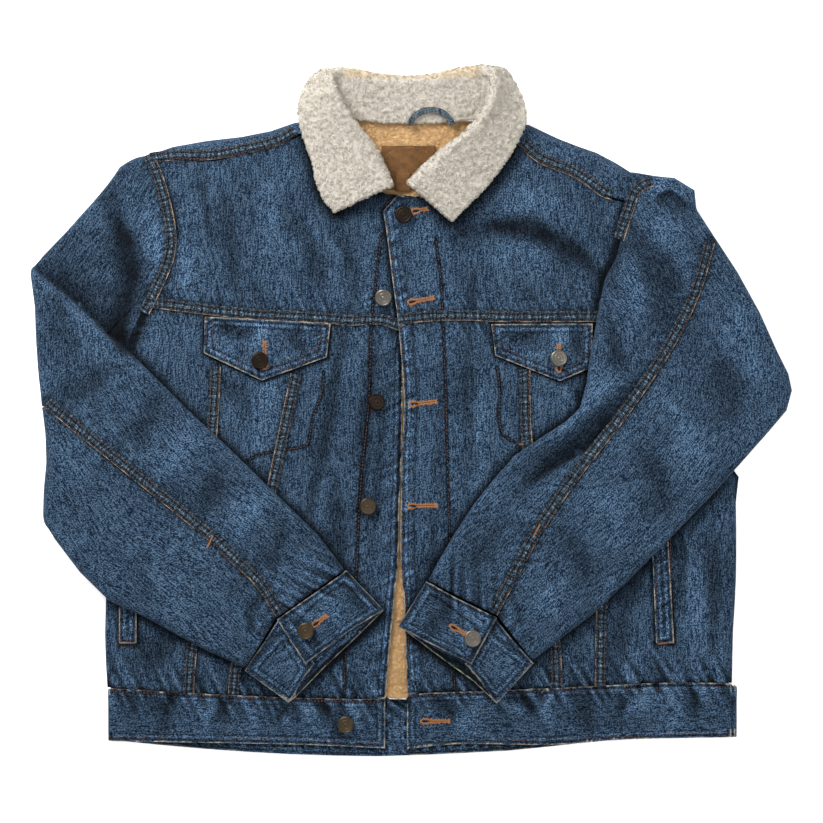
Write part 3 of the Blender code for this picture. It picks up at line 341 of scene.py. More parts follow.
def folds(points, creases):
    """Height of soft troughs and ridges: each a line with its height and its width, steeper on its left."""
    total = np.zeros(len(points))
    for seed, (line, height, width) in enumerate(creases):
        reach, run, side = along(points, line)
        length = sum(math.dist(a, b) for a, b in zip(line, line[1:]))
        ends = np.clip(np.minimum(run, length - run) / (0.3 * length), 0, 1)
        breadth = width * (1 + 0.3 * waves(run, 70, seed))
        sharp = np.where(side > 0, reach * 1.35, reach * 0.8) / breadth
        total += height * (0.25 + 0.75 * ends) * np.exp(-(sharp**2)) * (1 + 0.25 * waves(run, 45, seed + 7))
    return total


def tucks(points, creases):
    """Height of sharp creases, where cloth folds over itself: each a line, its right side the higher."""
    total = np.zeros(len(points))
    for seed, (line, height, width) in enumerate(creases):
        reach, run, side = along(points, line)
        length = sum(math.dist(a, b) for a, b in zip(line, line[1:]))
        ends = np.clip(np.minimum(run, length - run) / (0.25 * length), 0, 1) ** 0.7
        rise = height * (1 + 0.2 * waves(run, 40, seed + 17)) * np.exp(-reach / width)
        total += ends * rise * (-0.4 - 1.1 * np.tanh(side * reach / 1.6))
    return total


def puckers(points, seams):
    """Height of the small gathers along seams: each a line with its height, their length and their reach."""
    total = np.zeros(len(points))
    for seed, (line, height, length, far) in enumerate(seams):
        reach, run, side = along(points, line)
        gathered = waves(run + side * reach * 0.55, length, seed + 40)
        gathered += 0.35 * waves(run, 3 * length, seed + 90)
        total += height * gathered * np.exp(-((reach / far) ** 1.4))
    return total


UP = Vector((0, 0, 1))
FACES_UP = 0.12  # the least rise of the normal of a face that counts as facing up
AROUND = [Vector((x * MM, y * MM, 0.6 * MM)) for x, y in ((0, 0), (9, 0), (-9, 0), (0, 9), (0, -9))]


def inside(x, y, windows):
    """Whether a place in millimetres is in one of some boxes."""
    return any(x0 < x < x1 and y0 < y < y1 for x0, y0, x1, y1 in windows)


def cut_fine(mesh, fine, coarse, windows=None):
    """Cuts a mesh's faces to an even size: fine where they face up, within the windows and with nothing of
    the piece itself above them, and coarse elsewhere."""
    bm = bmesh.new()
    bm.from_mesh(mesh)
    bmesh.ops.remove_doubles(bm, verts=bm.verts, dist=1e-5)
    bmesh.ops.dissolve_degenerate(bm, edges=bm.edges, dist=6e-5)
    bmesh.ops.triangulate(bm, faces=[face for face in bm.faces if len(face.verts) > 3])
    own = BVHTree.FromBMesh(bm)
    for _ in range(9):
        bm.normal_update()
        long = []
        for edge in bm.edges:
            size = edge.calc_length()
            if size <= fine:
                continue
            middle = (edge.verts[0].co + edge.verts[1].co) / 2
            up = any(face.normal.z > FACES_UP for face in edge.link_faces)
            if up and windows:
                up = inside(middle.x / MM, middle.y / MM, windows)
            if up:
                up = any(own.ray_cast(middle + shift, UP)[0] is None for shift in AROUND)
            if up or size > coarse:
                long.append(edge)
        if not long:
            break
        bmesh.ops.subdivide_edges(bm, edges=long, cuts=1, use_grid_fill=True)
        bmesh.ops.triangulate(bm, faces=[face for face in bm.faces if len(face.verts) > 3])
    return bm


def long_chains(edges, least):
    """Of some edges, those that join into a chain of at least a length."""
    waiting, kept = set(edges), set()
    while waiting:
        chain, reach = set(), [waiting.pop()]
        while reach:
            edge = reach.pop()
            chain.add(edge)
            for vert in edge.verts:
                joined = [other for other in vert.link_edges if other in waiting]
                waiting.difference_update(joined)
                reach += joined
        if sum(edge.calc_length() for edge in chain) >= least:
            kept |= chain
    return kept


def edge_distance(bm, sharp, cap):
    """For each vertex, its distance in millimetres to the nearest of the sharp edges, up to a cap."""
    rim = {vert for edge in sharp for vert in edge.verts}
    tree = KDTree(len(rim))
    rim = list(rim)
    for i, vert in enumerate(rim):
        tree.insert(vert.co, i)
    tree.balance()
    beside = {vert: [edge for edge in vert.link_edges if edge in sharp] for vert in rim}
    found = np.full(len(bm.verts), cap)
    for vert in bm.verts:
        _, i, far = tree.find(vert.co)
        if far > (cap + 3) * MM:
            continue
        for edge in beside[rim[i]]:
            a, b = edge.verts[0].co, edge.verts[1].co
            part = min(max((vert.co - a).dot(b - a) / max((b - a).length_squared, 1e-12), 0), 1)
            far = min(far, (vert.co - a.lerp(b, part)).length)
        found[vert.index] = min(far / MM, cap)
    return found


def write_attribute(mesh, name, values, kind="FLOAT", domain="POINT"):
    attribute = mesh.attributes.new(name, kind, domain)
    values = np.ascontiguousarray(values, np.float32).ravel()
    attribute.data.foreach_set("value" if kind == "FLOAT" else "vector", values)


def add_piece(name, mesh, material):
    """A finished mesh as a piece of the jacket."""
    mesh.materials.append(material)
    piece = bpy.data.objects.new(name, mesh)
    bpy.context.scene.collection.objects.link(piece)
    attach(piece, "root")
    return piece


def coordinates(mesh):
    flat = np.zeros(len(mesh.vertices) * 3, np.float32)
    mesh.vertices.foreach_get("co", flat)
    return flat.reshape(-1, 3).astype(float)


def place(mesh, points):
    mesh.vertices.foreach_set("co", np.ascontiguousarray(points, np.float32).ravel())
    mesh.update()


def turned_grain(angle=0):
    """Warp that runs straight, at an angle to the jacket's own."""
    c, s = math.cos(math.radians(angle)), math.sin(math.radians(angle))

    def read(points, middles):
        x, y = points[:, 0], points[:, 1]
        return np.column_stack([c * x + s * y, c * y - s * x, points[:, 2]])
    return read


def bent_grain(line):
    """Warp that runs along a bent line, straight beside each of its stretches, such as a sleeve's."""
    starts = np.asarray(line[:-1], float)
    spans = np.diff(np.asarray(line, float), axis=0)
    ahead = spans / np.hypot(spans[:, 0], spans[:, 1])[:, None]

    def read(points, middles):
        gaps = [along(middles[:, :2], line[k : k + 2])[0] for k in range(len(spans))]
        own = np.argmin(gaps, axis=0)
        place = points[:, :2] - starts[own]
        run = (place * ahead[own]).sum(axis=1)
        across = place[:, 0] * ahead[own, 1] - place[:, 1] * ahead[own, 0]
        return np.column_stack([across, run, points[:, 2] + 40 * own])
    return read


def crevice_shade(places, nodes, gap, reach):
    """How much painted shade each place gets, from 0 to 1, for lying beside other pieces of the frame: full
    up to a gap.
    """
    total = np.zeros(len(places))
    for node in nodes:
        tree = BVHTree.FromObject(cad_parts[node], bpy.context.evaluated_depsgraph_get())
        for i, place in enumerate(places):
            far = tree.find_nearest(Vector(place), (gap + 4 * reach) * MM)[3]
            if far is not None:
                total[i] = max(total[i], math.exp(-max(far / MM - gap, 0) / reach))
    return total


EVEN = 2.4
HIDDEN = 14.0
EASE = 14
SHARP_ANGLE = math.radians(48)
SHARP_LENGTH = 40.0
WORN_REACH = 9.0
FAR = 12.0  # how far distances to edges and rows are told, in mm


def dress(node, name, height=None, grain=turned_grain(), fine=EVEN, ease=EASE, windows=None, roll=False,
          worn=(), beside=(), rows=(), seams=(), swells=(), deepest=1.9, material=None):
    """A copy of a piece of the frame, cut fine, eased smooth, pressed into folds and ready for its cloth.

    Its rim is worn along the worn lines, or all round where worn is None. Painted shade darkens it close to
    the nodes beside it, each with the reach of its shadow, beside its seams and along rows of stitches. A
    swell is a place, how far the cloth there lies from its node's, and the reach of that. The cloth is
    pressed in to the deepest only, and a deeper fold gets painted shade instead."""
    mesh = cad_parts[node].data.copy()
    mesh.materials.clear()
    bm = cut_fine(mesh, fine * MM * (1), HIDDEN * MM, windows)
    bm.normal_update()
    sharp = {edge for edge in bm.edges if edge.calc_face_angle(3.2) > SHARP_ANGLE}
    sharp = long_chains(sharp, SHARP_LENGTH * MM)
    held = {vert for edge in sharp for vert in edge.verts}
    free = [vert for vert in bm.verts if vert not in held]
    for _ in range(ease):
        bmesh.ops.smooth_vert(bm, verts=free, factor=0.5, use_axis_x=roll, use_axis_y=roll, use_axis_z=True)
    bm.verts.index_update()
    bm.verts.ensure_lookup_table()
    rim = edge_distance(bm, sharp, FAR)
    bm.to_mesh(mesh)
    bm.free()
    points = coordinates(mesh)
    for middle, shift, reach in swells:
        away = np.hypot(points[:, 0] / MM - middle[0], points[:, 1] / MM - middle[1])
        points[:, :2] += np.exp(-((away / reach) ** 2))[:, None] * np.array(shift) * MM
    place(mesh, points)
    lift = np.zeros(len(points))
    if height:
        lift = height(points[:, :2] / MM, points, rim)
        floor = np.minimum(0.3 - points[:, 2] / MM, 0)
        points[:, 2] += np.maximum(lift, np.maximum(-deepest, floor)) * MM
        place(mesh, points)
    if worn is not None:
        near = np.zeros(len(points), bool)
        for line in worn:
            near |= along(points[:, :2] / MM, line)[0] < WORN_REACH
        rim = np.where(near, rim, FAR)
    # Painted shade in hollows and painted highlight on ridges, with the wear that fades denim on its ridges;
    # past 2 mm deep, more painted shade only.
    relief_and_shade = np.tanh(lift * 0.7) * np.where(lift < 0, 0.9, 0.6) - 0.35 * np.maximum(-lift - 2, 0)
    # Painted shade where other pieces lie close over it.
    for gap, reach, nodes in beside:
        relief_and_shade -= 2.2 * crevice_shade(points, nodes, gap, reach)
    # Painted shadow beside the felled seams.
    for line in seams:
        relief_and_shade -= 0.8 * np.exp(-np.maximum(along(points[:, :2] / MM, line)[0] - 5.5, 0) / 2.0)
    # The distance to rows of stitches, for the painted shade of their grooves.
    row = np.full(len(points), FAR)
    for line in rows:
        row = np.minimum(row, along(points[:, :2] / MM, line)[0])
    write_attribute(mesh, "row", row)
    write_attribute(mesh, "edge", rim)
    write_attribute(mesh, "relief_and_shade", relief_and_shade)
    corner = np.zeros(len(mesh.loops), np.int32)
    mesh.loops.foreach_get("vertex_index", corner)
    corners = points[corner] / MM
    middles = np.repeat(corners.reshape(-1, 3, 3).mean(axis=1), 3, axis=0)
    write_attribute(mesh, "grain", grain(corners, middles), "FLOAT_VECTOR", "CORNER")
    mesh.shade_smooth()
    mesh.materials.append(material or denim)
    piece = bpy.data.objects.new(name, mesh)
    bpy.context.scene.collection.objects.link(piece)
    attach(piece, "root")
    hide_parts(node)
    return piece

# --------------------------------------------------------------------------------------------------
# The body: back and back yoke, then the two fronts. Each front has a yoke and three panels, and its folds and
# gathers run across all four. Places are in millimetres.

CHEST_RIGHT = [(-266, 110), (-214, 103.5), (-165, 97.5), (-82, 94), (-62, 91), (-40, 93), (-27, 92),
               (-11, 86)]
CHEST_LEFT = [(-13, 92.5), (8, 95), (31, 96.5), (58, 96.7), (88, 95), (140, 95), (187, 95.5)]
ARM_RIGHT = [(-264.5, 258), (-261, 250), (-255, 238), (-245.5, 206.5), (-240, 175), (-243, 152),
             (-254, 127), (-264, 107), (-275, 85), (-281, 62), (-292, 30)]
ARM_FELLED_RIGHT = ARM_RIGHT[:8] + [(-268, 99)]
SHOULDER_RIGHT = [(-262, 254), (-237, 258), (-202, 256.5), (-166, 264), (-136, 270.5), (-117, 282)]
SHOULDER_LEFT = [(112, 271), (125, 256.5), (137, 250.5), (158, 243.5), (177, 232.5), (192, 220), (201, 217)]
V_OUT_RIGHT = [(-196.5, 45), (-199.5, -23), (-222.5, -258), (-223.5, -284)]
V_IN_RIGHT = [(-115.5, 37), (-139, -74), (-176.5, -255), (-178.5, -284)]
V_IN_LEFT = [(113.5, 42), (114, -33), (139.5, -210), (144.5, -236), (145.5, -277)]
V_OUT_LEFT = [(196.5, -20), (194.5, -150), (190, -201), (189.5, -275)]
PLACKET_RIGHT = [(-30, 178), (-36, 130), (-41, 85), (-42, 10), (-50, -59), (-53, -105), (-55, -160),
                 (-60, -210), (-67, -242), (-67, -284)]
PLACKET_LEFT = [(24, 175), (30, 130), (31, 102), (35, 10), (36, -59), (38.4, -128), (43, -258), (43, -280)]
POCKET_RIGHT = [(-88, 40), (-89.4, 18), (-99, -5), (-102, -25), (-104, -34), (-115, -37), (-136, -39),
                (-155, -44), (-164, -49)]
POCKET_LEFT = [(85.6, 45), (89, 22), (87, -5), (90.5, -23), (103.5, -31)]
WAIST_RIGHT = [(-305, -279), (-200, -284), (-112, -289), (-26, -290)]
WAIST_LEFT = [(-4, -285), (83, -282), (148, -279), (268, -273), (322, -275)]
RIGHT_EDGE = [(9, 216), (4, 130), (-2, 100), (-8, 60), (-9, 10), (-10, -59), (-12.5, -105), (-13.3, -150),
              (-17, -185), (-20, -220), (-23.6, -254), (-26, -286)]
LEFT_EDGE = [(-14.4, 218), (-29, 210), (-27, 194), (-23.5, 167), (-19, 130), (-14, 93), (-7.5, 10),
             (-10, -36), (-11, -82), (-11.4, -119), (-11, -150), (-7.5, -185), (-4, -265), (-4, -286)]

BODY_RIGHT_GATHERS = [
    # line, height, length of a gather, how far it reaches from the line
    (CHEST_RIGHT, 2.2, 9.0, 15), (ARM_RIGHT, 1.0, 9.0, 13), (SHOULDER_RIGHT, 0.8, 9.0, 13),
    (V_OUT_RIGHT, 0.7, 7.0, 11), (V_IN_RIGHT, 0.7, 7.0, 11), (PLACKET_RIGHT, 0.8, 9.0, 9),
    (POCKET_RIGHT, 0.6, 7.0, 8), (WAIST_RIGHT, 3.4, 13.0, 20), (RIGHT_EDGE, 1.4, 13.0, 14),
]
BODY_LEFT_GATHERS = [
    (CHEST_LEFT, 2.2, 9.0, 15), (SHOULDER_LEFT, 0.8, 9.0, 13), (V_OUT_LEFT, 0.7, 7.0, 11),
    (V_IN_LEFT, 0.7, 7.0, 11), (PLACKET_LEFT, 0.8, 9.0, 9), (POCKET_LEFT, 0.6, 7.0, 8),
    (WAIST_LEFT, 3.4, 13.0, 20), (LEFT_EDGE, 0.5, 10.0, 14),
]
BODY_RIGHT_FOLDS = [
    # line, height, width
    ([(-208, 232), (-206, 214), (-203, 190), (-200, 170)], -1.3, 5),
    ([(-190, 222), (-184, 190), (-178, 150), (-176, 122)], -1.0, 8),
    ([(-120, 200), (-100, 168), (-88, 118)], -1.1, 9),
    ([(-232, 186), (-224, 146), (-226, 115)], 1.1, 9),
    ([(-70, 190), (-60, 150), (-54, 108)], -0.9, 7),
    ([(-146, 236), (-140, 200), (-136, 160)], 0.8, 12),
    ([(-160, 130), (-150, 112), (-148, 102)], -0.9, 5),
    ([(-150, 60), (-142, 20), (-150, -30)], 0.8, 12),
    ([(-66, 82), (-74, 40), (-82, -10), (-92, -60), (-104, -104)], -1.8, 7),
    ([(-34, 74), (-38, 40), (-44, 0), (-46, -60), (-52, -120)], -1.7, 6),
    ([(-24, 20), (-30, -30), (-34, -90), (-40, -150)], -1.0, 5),
    ([(-76, -60), (-72, -110), (-70, -160)], -1.2, 7),
    ([(-120, -70), (-128, -130), (-142, -190)], 1.0, 13),
    ([(-215, -180), (-240, -226), (-262, -262)], -1.4, 10),
    ([(-84, -120), (-92, -180), (-98, -250)], -1.2, 9),
    ([(-292, -196), (-268, -236), (-262, -270)], -1.2, 8),
    ([(-250, 40), (-244, 0), (-250, -50)], -0.9, 11),
    ([(-196, 34), (-170, 20), (-160, -20)], -0.8, 8),
]
BODY_LEFT_FOLDS = [
    ([(52, 178), (84, 187), (118, 186), (147, 172), (173, 156), (190, 134)], -3.6, 9),
    ([(58, 214), (96, 217), (136, 211), (166, 200)], 0.5, 12),
    ([(70, 158), (110, 166), (142, 154)], 0.5, 12),
    ([(176, 220), (186, 194), (192, 166)], -0.6, 9),
    ([(60, 140), (64, 118), (62, 100)], -0.9, 6),
    ([(110, 130), (122, 112), (120, 102)], -0.8, 6),
    ([(166, 22), (172, 6), (180, -6)], -2.0, 4),
    ([(56, 80), (58, 30), (60, -20), (64, -70)], -1.2, 8),
    ([(30, 60), (32, 10), (30, -50), (34, -110)], -0.8, 5),
    ([(70, 30), (66, -30), (72, -90)], 0.9, 8),
    ([(160, 16), (166, -30), (168, -60)], 0.8, 10),
    ([(112, -40), (104, -80), (96, -120)], -1.2, 9),
    ([(84, -60), (94, -130), (104, -200), (110, -262)], -1.2, 9),
    ([(226, -160), (212, -210), (208, -262)], -1.2, 10),
    ([(285, -150), (292, -200), (290, -252)], 1.0, 10),
    ([(304, -120), (306, -180), (300, -240)], -1.1, 8),
    ([(262, -100), (272, -150), (270, -210)], -1.2, 6),
    ([(196, 70), (186, 40), (188, 5)], -1.3, 7),
    ([(20, -90), (24, -150), (22, -200)], -0.8, 6),
]


def body_height(gathers, creases, seed, size=46.0, deep=1.4, facing=None):
    """The height function of a panel: its gathers, its folds, and the evenness it has lost with wear.

    A facing is the line of a free edge whose turned-back cloth shows through as a rippled band beside it."""
    def height(points, places, rim):
        total = puckers(points, gathers) + deep * folds(points, creases)
        if facing:
            reach, run, side = along(points, facing)
            band = np.clip((reach - 1) / 2, 0, 1) * np.clip((FACING_WIDTH - reach) / 1.5, 0, 1)
            total += band * (0.5 + 0.9 * np.tanh(2 * waves(run + reach * 0.3, 12, seed + 60)))
            total -= 0.9 * np.exp(-(((reach - FACING_WIDTH - 1) / 1.7) ** 2))
        return total + 0.4 * rumple(points, size, seed) + 0.2 * rumple(points, size / 4, seed + 9)
    return height


def flat_height(points, places, rim):
    """The slight relief of cloth that lies on the table: its underside stays flat."""
    lifted = np.clip(places[:, 2] / MM / 1.6, 0, 1)
    return 0.35 * rumple(points, 40, 21) * lifted


FACING_WIDTH = 13.0
SLEEVES = ("right_sleeve_top", "right_sleeve_under", "left_sleeve_top", "left_sleeve_under")
CUFFS = ("right_cuff", "left_cuff")
OVER_BOTH = [
    # how close the nodes over a front come, the reach of their shadow, and the nodes
    (4.6, 2.6, SLEEVES + CUFFS),
    (3.0, 5.0, ("collar",)),
    (0.8, 1.6, ("waistband",)),
]
OVER_RIGHT = OVER_BOTH + [(0.8, 1.6, ("right_pocket_flap", "right_welt")),
                          (2.0, 1.5, ("left_front_yoke", "left_front_centre"))]
OVER_LEFT = OVER_BOTH + [(0.8, 1.6, ("left_pocket_flap", "left_welt"))]
HIDDEN_ONLY = [(0, 0, 0, 0)]
SHOULDERS = [(-280, 225, -90, 300), (90, 180, 280, 300)]
dress("back_panel", "back", flat_height, windows=HIDDEN_ONLY, ease=4)
back_yoke = dress("back_yoke", "back_yoke_cloth", flat_height, windows=SHOULDERS, ease=6)


def dress_front(side, height, edge, beside, rows, seams, side_swells=()):
    """The yoke and the three panels of one front; the yoke and the centre panel have its worn free edge."""
    return [
        dress(f"{side}_front_yoke", f"{side}_yoke", height, worn=[edge], beside=beside, rows=rows,
              seams=seams),
        dress(f"{side}_front_side", f"{side}_side", height, beside=beside, rows=rows, seams=seams,
              swells=side_swells),
        dress(f"{side}_front_middle", f"{side}_middle", height, beside=beside, rows=rows, seams=seams),
        dress(f"{side}_front_centre", f"{side}_centre", height, worn=[edge], beside=beside, rows=rows,
              seams=seams),
    ]


right_height = body_height(BODY_RIGHT_GATHERS, BODY_RIGHT_FOLDS, 3)
left_height = body_height(BODY_LEFT_GATHERS, BODY_LEFT_FOLDS, 5, facing=LEFT_EDGE)
RIGHT_FRONT = dress_front("right", right_height, RIGHT_EDGE, OVER_RIGHT, [PLACKET_RIGHT, POCKET_RIGHT],
                          [CHEST_RIGHT, ARM_FELLED_RIGHT, SHOULDER_RIGHT, V_OUT_RIGHT, V_IN_RIGHT],
                          side_swells=[((-276, 74), (-4, 0), 32)])
LEFT_FRONT = dress_front("left", left_height, LEFT_EDGE, OVER_LEFT, [PLACKET_LEFT, POCKET_LEFT],
                         [CHEST_LEFT, SHOULDER_LEFT, V_OUT_LEFT, V_IN_LEFT])

# --------------------------------------------------------------------------------------------------
# The waistband, one strip round the hem.

WAIST_TOP = [(-305, -277), (-112, -287), (-26, -288.5), (-4, -283), (83, -280), (148, -277), (322, -273)]
WAIST_BOTTOM = [(-305, -331), (-112, -334), (-29, -338), (-1, -339), (148, -334), (330, -327)]
WAIST_FOLDS = [
    ([(-284, -280), (-276, -294), (-280, -306)], -1.2, 5),
    ([(-236, -282), (-244, -296), (-240, -308)], -1.2, 5),
    ([(-206, -284), (-198, -298), (-204, -312)], 1.0, 6),
    ([(-180, -286), (-190, -300), (-186, -310)], -1.2, 5),
    ([(-140, -288), (-128, -300), (-134, -312)], -1.3, 5),
    ([(-118, -289), (-106, -298), (-92, -304)], 1.2, 5),
    ([(-96, -289), (-84, -300), (-86, -310)], -1.2, 5),
    ([(-60, -291), (-52, -304), (-54, -312)], 1.0, 5),
    ([(30, -285), (42, -300), (38, -314)], -1.3, 6),
    ([(84, -284), (96, -294), (112, -300)], 1.2, 5),
    ([(110, -283), (122, -298), (118, -308)], -1.3, 5),
    ([(144, -281), (136, -296), (140, -310)], 1.1, 6),
    ([(206, -279), (214, -292), (210, -304)], -1.1, 5),
    ([(238, -277), (232, -292), (240, -304)], 1.0, 6),
    ([(290, -277), (284, -292), (288, -304)], -1.1, 5),
    ([(-250, -285), (-246, -310), (-250, -330)], -0.5, 8),
    ([(-160, -290), (-158, -312), (-162, -332)], 0.5, 9),
    ([(-70, -290), (-74, -312), (-70, -334)], -0.5, 8),
    ([(60, -284), (62, -305), (58, -332)], 0.5, 10),
    ([(180, -280), (176, -305), (182, -330)], -0.5, 9),
    ([(262, -276), (266, -300), (262, -326)], 0.5, 9),
]
WAIST_GATHERS = [(WAIST_TOP, 3.6, 14.0, 17), (WAIST_BOTTOM, 0.8, 9.0, 10)]
WAIST_WORN = [WAIST_TOP[:2] + [(-36, -288.4)], [(6, -282.6)] + WAIST_TOP[4:],
              WAIST_BOTTOM[:3], WAIST_BOTTOM[3:], [(-27, -296), (-27, -337)], [(-4, -296), (-1, -338)]]
WAIST_SHOWN = [(-320, -345, 340, -265)]
waistband = dress("waistband", "waistband_cloth", body_height(WAIST_GATHERS, WAIST_FOLDS, 8, 30.0, 2.8),
                  grain=turned_grain(90), windows=WAIST_SHOWN, worn=WAIST_WORN)

# Between its two ends, what is behind the waistband's upper half is drawn down, and the lining shows there.
WAIST_GAP = (-25, -4)
WAIST_MIDDLE = -312
WAIST_LOWERED = 0.7
places = coordinates(waistband.data)
x, y = places[:, 0] / MM, places[:, 1] / MM
in_gap = (x > WAIST_GAP[0]) & (x < WAIST_GAP[1]) & (y > WAIST_MIDDLE)
places[:, 1] = np.where(in_gap, (WAIST_MIDDLE + (y - WAIST_MIDDLE) * WAIST_LOWERED) * MM, places[:, 1])
place(waistband.data, places)

# --------------------------------------------------------------------------------------------------
# The sleeves, which are flattened tubes: only the wall that faces up is pressed into folds.

RIGHT_SLEEVE_LINE = [(-262, 240), (-330, 130), (-335, 20), (-270, -80), (-180, -150), (-20, -310)]
LEFT_SLEEVE_LINE = [(235, 220), (300, 110), (300, 10), (230, -80), (150, -150), (-10, -310)]
ARM_LEFT = [(240, 230), (229, 226), (221.5, 218), (218, 206), (212.5, 190), (207, 172)]
ELBOW_RIGHT = [(-364, 9), (-289, -52), (-202, -121.5), (-178, -145.5), (-161, -160), (-148, -174),
               (-130, -203)]
ELBOW_LEFT = [(299, 170), (289, 131), (275, 98), (258, 67.5), (240, 39), (207.5, -7.5), (192, -26),
              (161.5, -65), (126, -116.5), (104, -158), (81, -201)]
CUFF_SEAM_RIGHT = [(-135, -206), (-100, -183), (-67, -158)]
CUFF_SEAM_LEFT = [(16.5, -168), (39, -181), (63, -193), (86, -204)]
SLEEVE_RIGHT_FOLDS = [
    ([(-303, 220), (-296, 194), (-284, 166), (-279, 135), (-286, 111), (-290, 88), (-287, 66)], -5.0, 10),
    ([(-262, 160), (-262, 130), (-272, 104)], -1.6, 8),
    ([(-304, 96), (-292, 76), (-284, 62), (-280, 54)], -3.4, 9),
    ([(-326, 196), (-318, 150), (-322, 110), (-326, 80)], -0.5, 34),
    ([(-262, 205), (-252, 170), (-258, 135), (-268, 104)], 1.5, 10),
    ([(-345, 150), (-350, 110), (-345, 70)], -1.2, 13),
    ([(-300, 40), (-330, 20), (-360, 14)], -1.6, 10),
    ([(-250, 20), (-262, -10), (-282, -34)], -1.3, 12),
    ([(-215, -14), (-232, -44), (-252, -72)], 1.2, 13),
    ([(-186, -52), (-196, -80), (-214, -104)], -1.5, 11),
    ([(-150, -82), (-166, -108), (-180, -134)], 1.2, 12),
    ([(-124, -112), (-134, -140), (-146, -164)], -1.6, 9),
    ([(-96, -140), (-108, -164), (-122, -190)], 0.9, 9),
    ([(-330, -10), (-312, -34), (-290, -50)], 0.7, 10),
]
SLEEVE_LEFT_FOLDS = [
    ([(222, 216), (214, 190), (206, 160), (200, 130)], -1.5, 6),
    ([(236, 222), (252, 230), (270, 230), (284, 219)], 1.8, 8),
    ([(214, 190), (236, 164), (258, 136), (259, 107), (246, 82)], -2.2, 18),
    ([(240, 196), (268, 166), (284, 130)], 1.6, 15),
    ([(216, 150), (226, 118), (224, 84)], 1.4, 13),
    ([(210, 20), (226, 30), (244, 40)], -1.0, 9),
    ([(226, 16), (205, -8), (172, -36), (142, -56), (112, -80)], -2.0, 11),
    ([(196, 96), (206, 60), (216, 30)], -1.6, 10),
    ([(220, 44), (196, 22), (160, -8), (130, -32)], 1.5, 13),
    ([(300, 60), (322, 30), (318, -10)], -1.5, 15),
    ([(318, 110), (338, 70), (344, 30)], 1.3, 15),
    ([(262, 10), (280, -24), (286, -60)], 1.4, 15),
    ([(236, -40), (252, -74), (252, -108)], -1.5, 13),
    ([(190, -70), (208, -104), (212, -138)], 1.2, 13),
    ([(150, -116), (172, -146), (180, -176)], -1.4, 11),
    ([(116, -150), (136, -176), (144, -204)], 1.0, 10),
    ([(92, -110), (76, -136), (56, -160)], -1.3, 10),
]
SLEEVE_RIGHT_TUCKS = [
    ([(-384, 147.5), (-367, 133), (-349, 119.5), (-320, 92.5), (-292, 66), (-274, 50)], 3.0, 11),
]
SLEEVE_LEFT_TUCKS = [
    ([(112, -80), (142, -58), (175, -38), (206, -9), (226, 15)], 3.0, 9),
    ([(281, 203), (271, 213), (258, 221), (247, 217), (241, 207)], 2.4, 7),
]
SLEEVE_RIGHT_GATHERS = [
    (ARM_RIGHT, 0.9, 9.0, 14), (ELBOW_RIGHT, 1.4, 9.0, 13), (CUFF_SEAM_RIGHT, 2.8, 13.0, 24),
]
SLEEVE_LEFT_GATHERS = [(ELBOW_LEFT, 1.4, 9.0, 13), (CUFF_SEAM_LEFT, 2.8, 13.0, 24)]


def sleeve_height(node, gathers, creases, doubled, seed):
    """The height function of a sleeve's piece, which presses only the wall that faces up."""
    own = BVHTree.FromObject(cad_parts[node], bpy.context.evaluated_depsgraph_get())

    def height(points, places, rim):
        total = puckers(points, gathers) + folds(points, creases) + tucks(points, doubled)
        total += 0.45 * rumple(points, 52, seed) + 0.2 * rumple(points, 13, seed + 9)
        share = np.ones(len(points))
        for i, (x, y, z) in enumerate(places):
            hit = own.ray_cast(Vector((x, y, 0.2)), Vector((0, 0, -1)))[0]
            if hit:
                share[i] = min(max((z - hit.z) / MM / 1.5 + 3.2, 0), 1)
        return total * share
    return height


def dress_sleeve(side, line, gathers, creases, doubled, seed, seams, swells):
    """The outer and the inner piece of a sleeve."""
    made = []
    for part, name in (("top", "outer"), ("under", "inner")):
        node = f"{side}_sleeve_{part}"
        height = sleeve_height(node, gathers, creases, doubled, seed)
        made.append(dress(node, f"{side}_sleeve_{name}", height, grain=bent_grain(line), roll=True, ease=8,
                          deepest=4.5, beside=[(0.8, 1.8, CUFFS)], seams=seams, swells=swells))
    return made


RIGHT_CAP = [((-276, 246), (-0.5, 6), 20)]
LEFT_CAP = [((228, 236), (-7, 3), 14)]
RIGHT_SLEEVE = dress_sleeve("right", RIGHT_SLEEVE_LINE, SLEEVE_RIGHT_GATHERS, SLEEVE_RIGHT_FOLDS,
                            SLEEVE_RIGHT_TUCKS, 11, [ARM_FELLED_RIGHT, ELBOW_RIGHT], RIGHT_CAP)
LEFT_SLEEVE = dress_sleeve("left", LEFT_SLEEVE_LINE, SLEEVE_LEFT_GATHERS, SLEEVE_LEFT_FOLDS,
                           SLEEVE_LEFT_TUCKS, 13, [ELBOW_LEFT], LEFT_CAP)

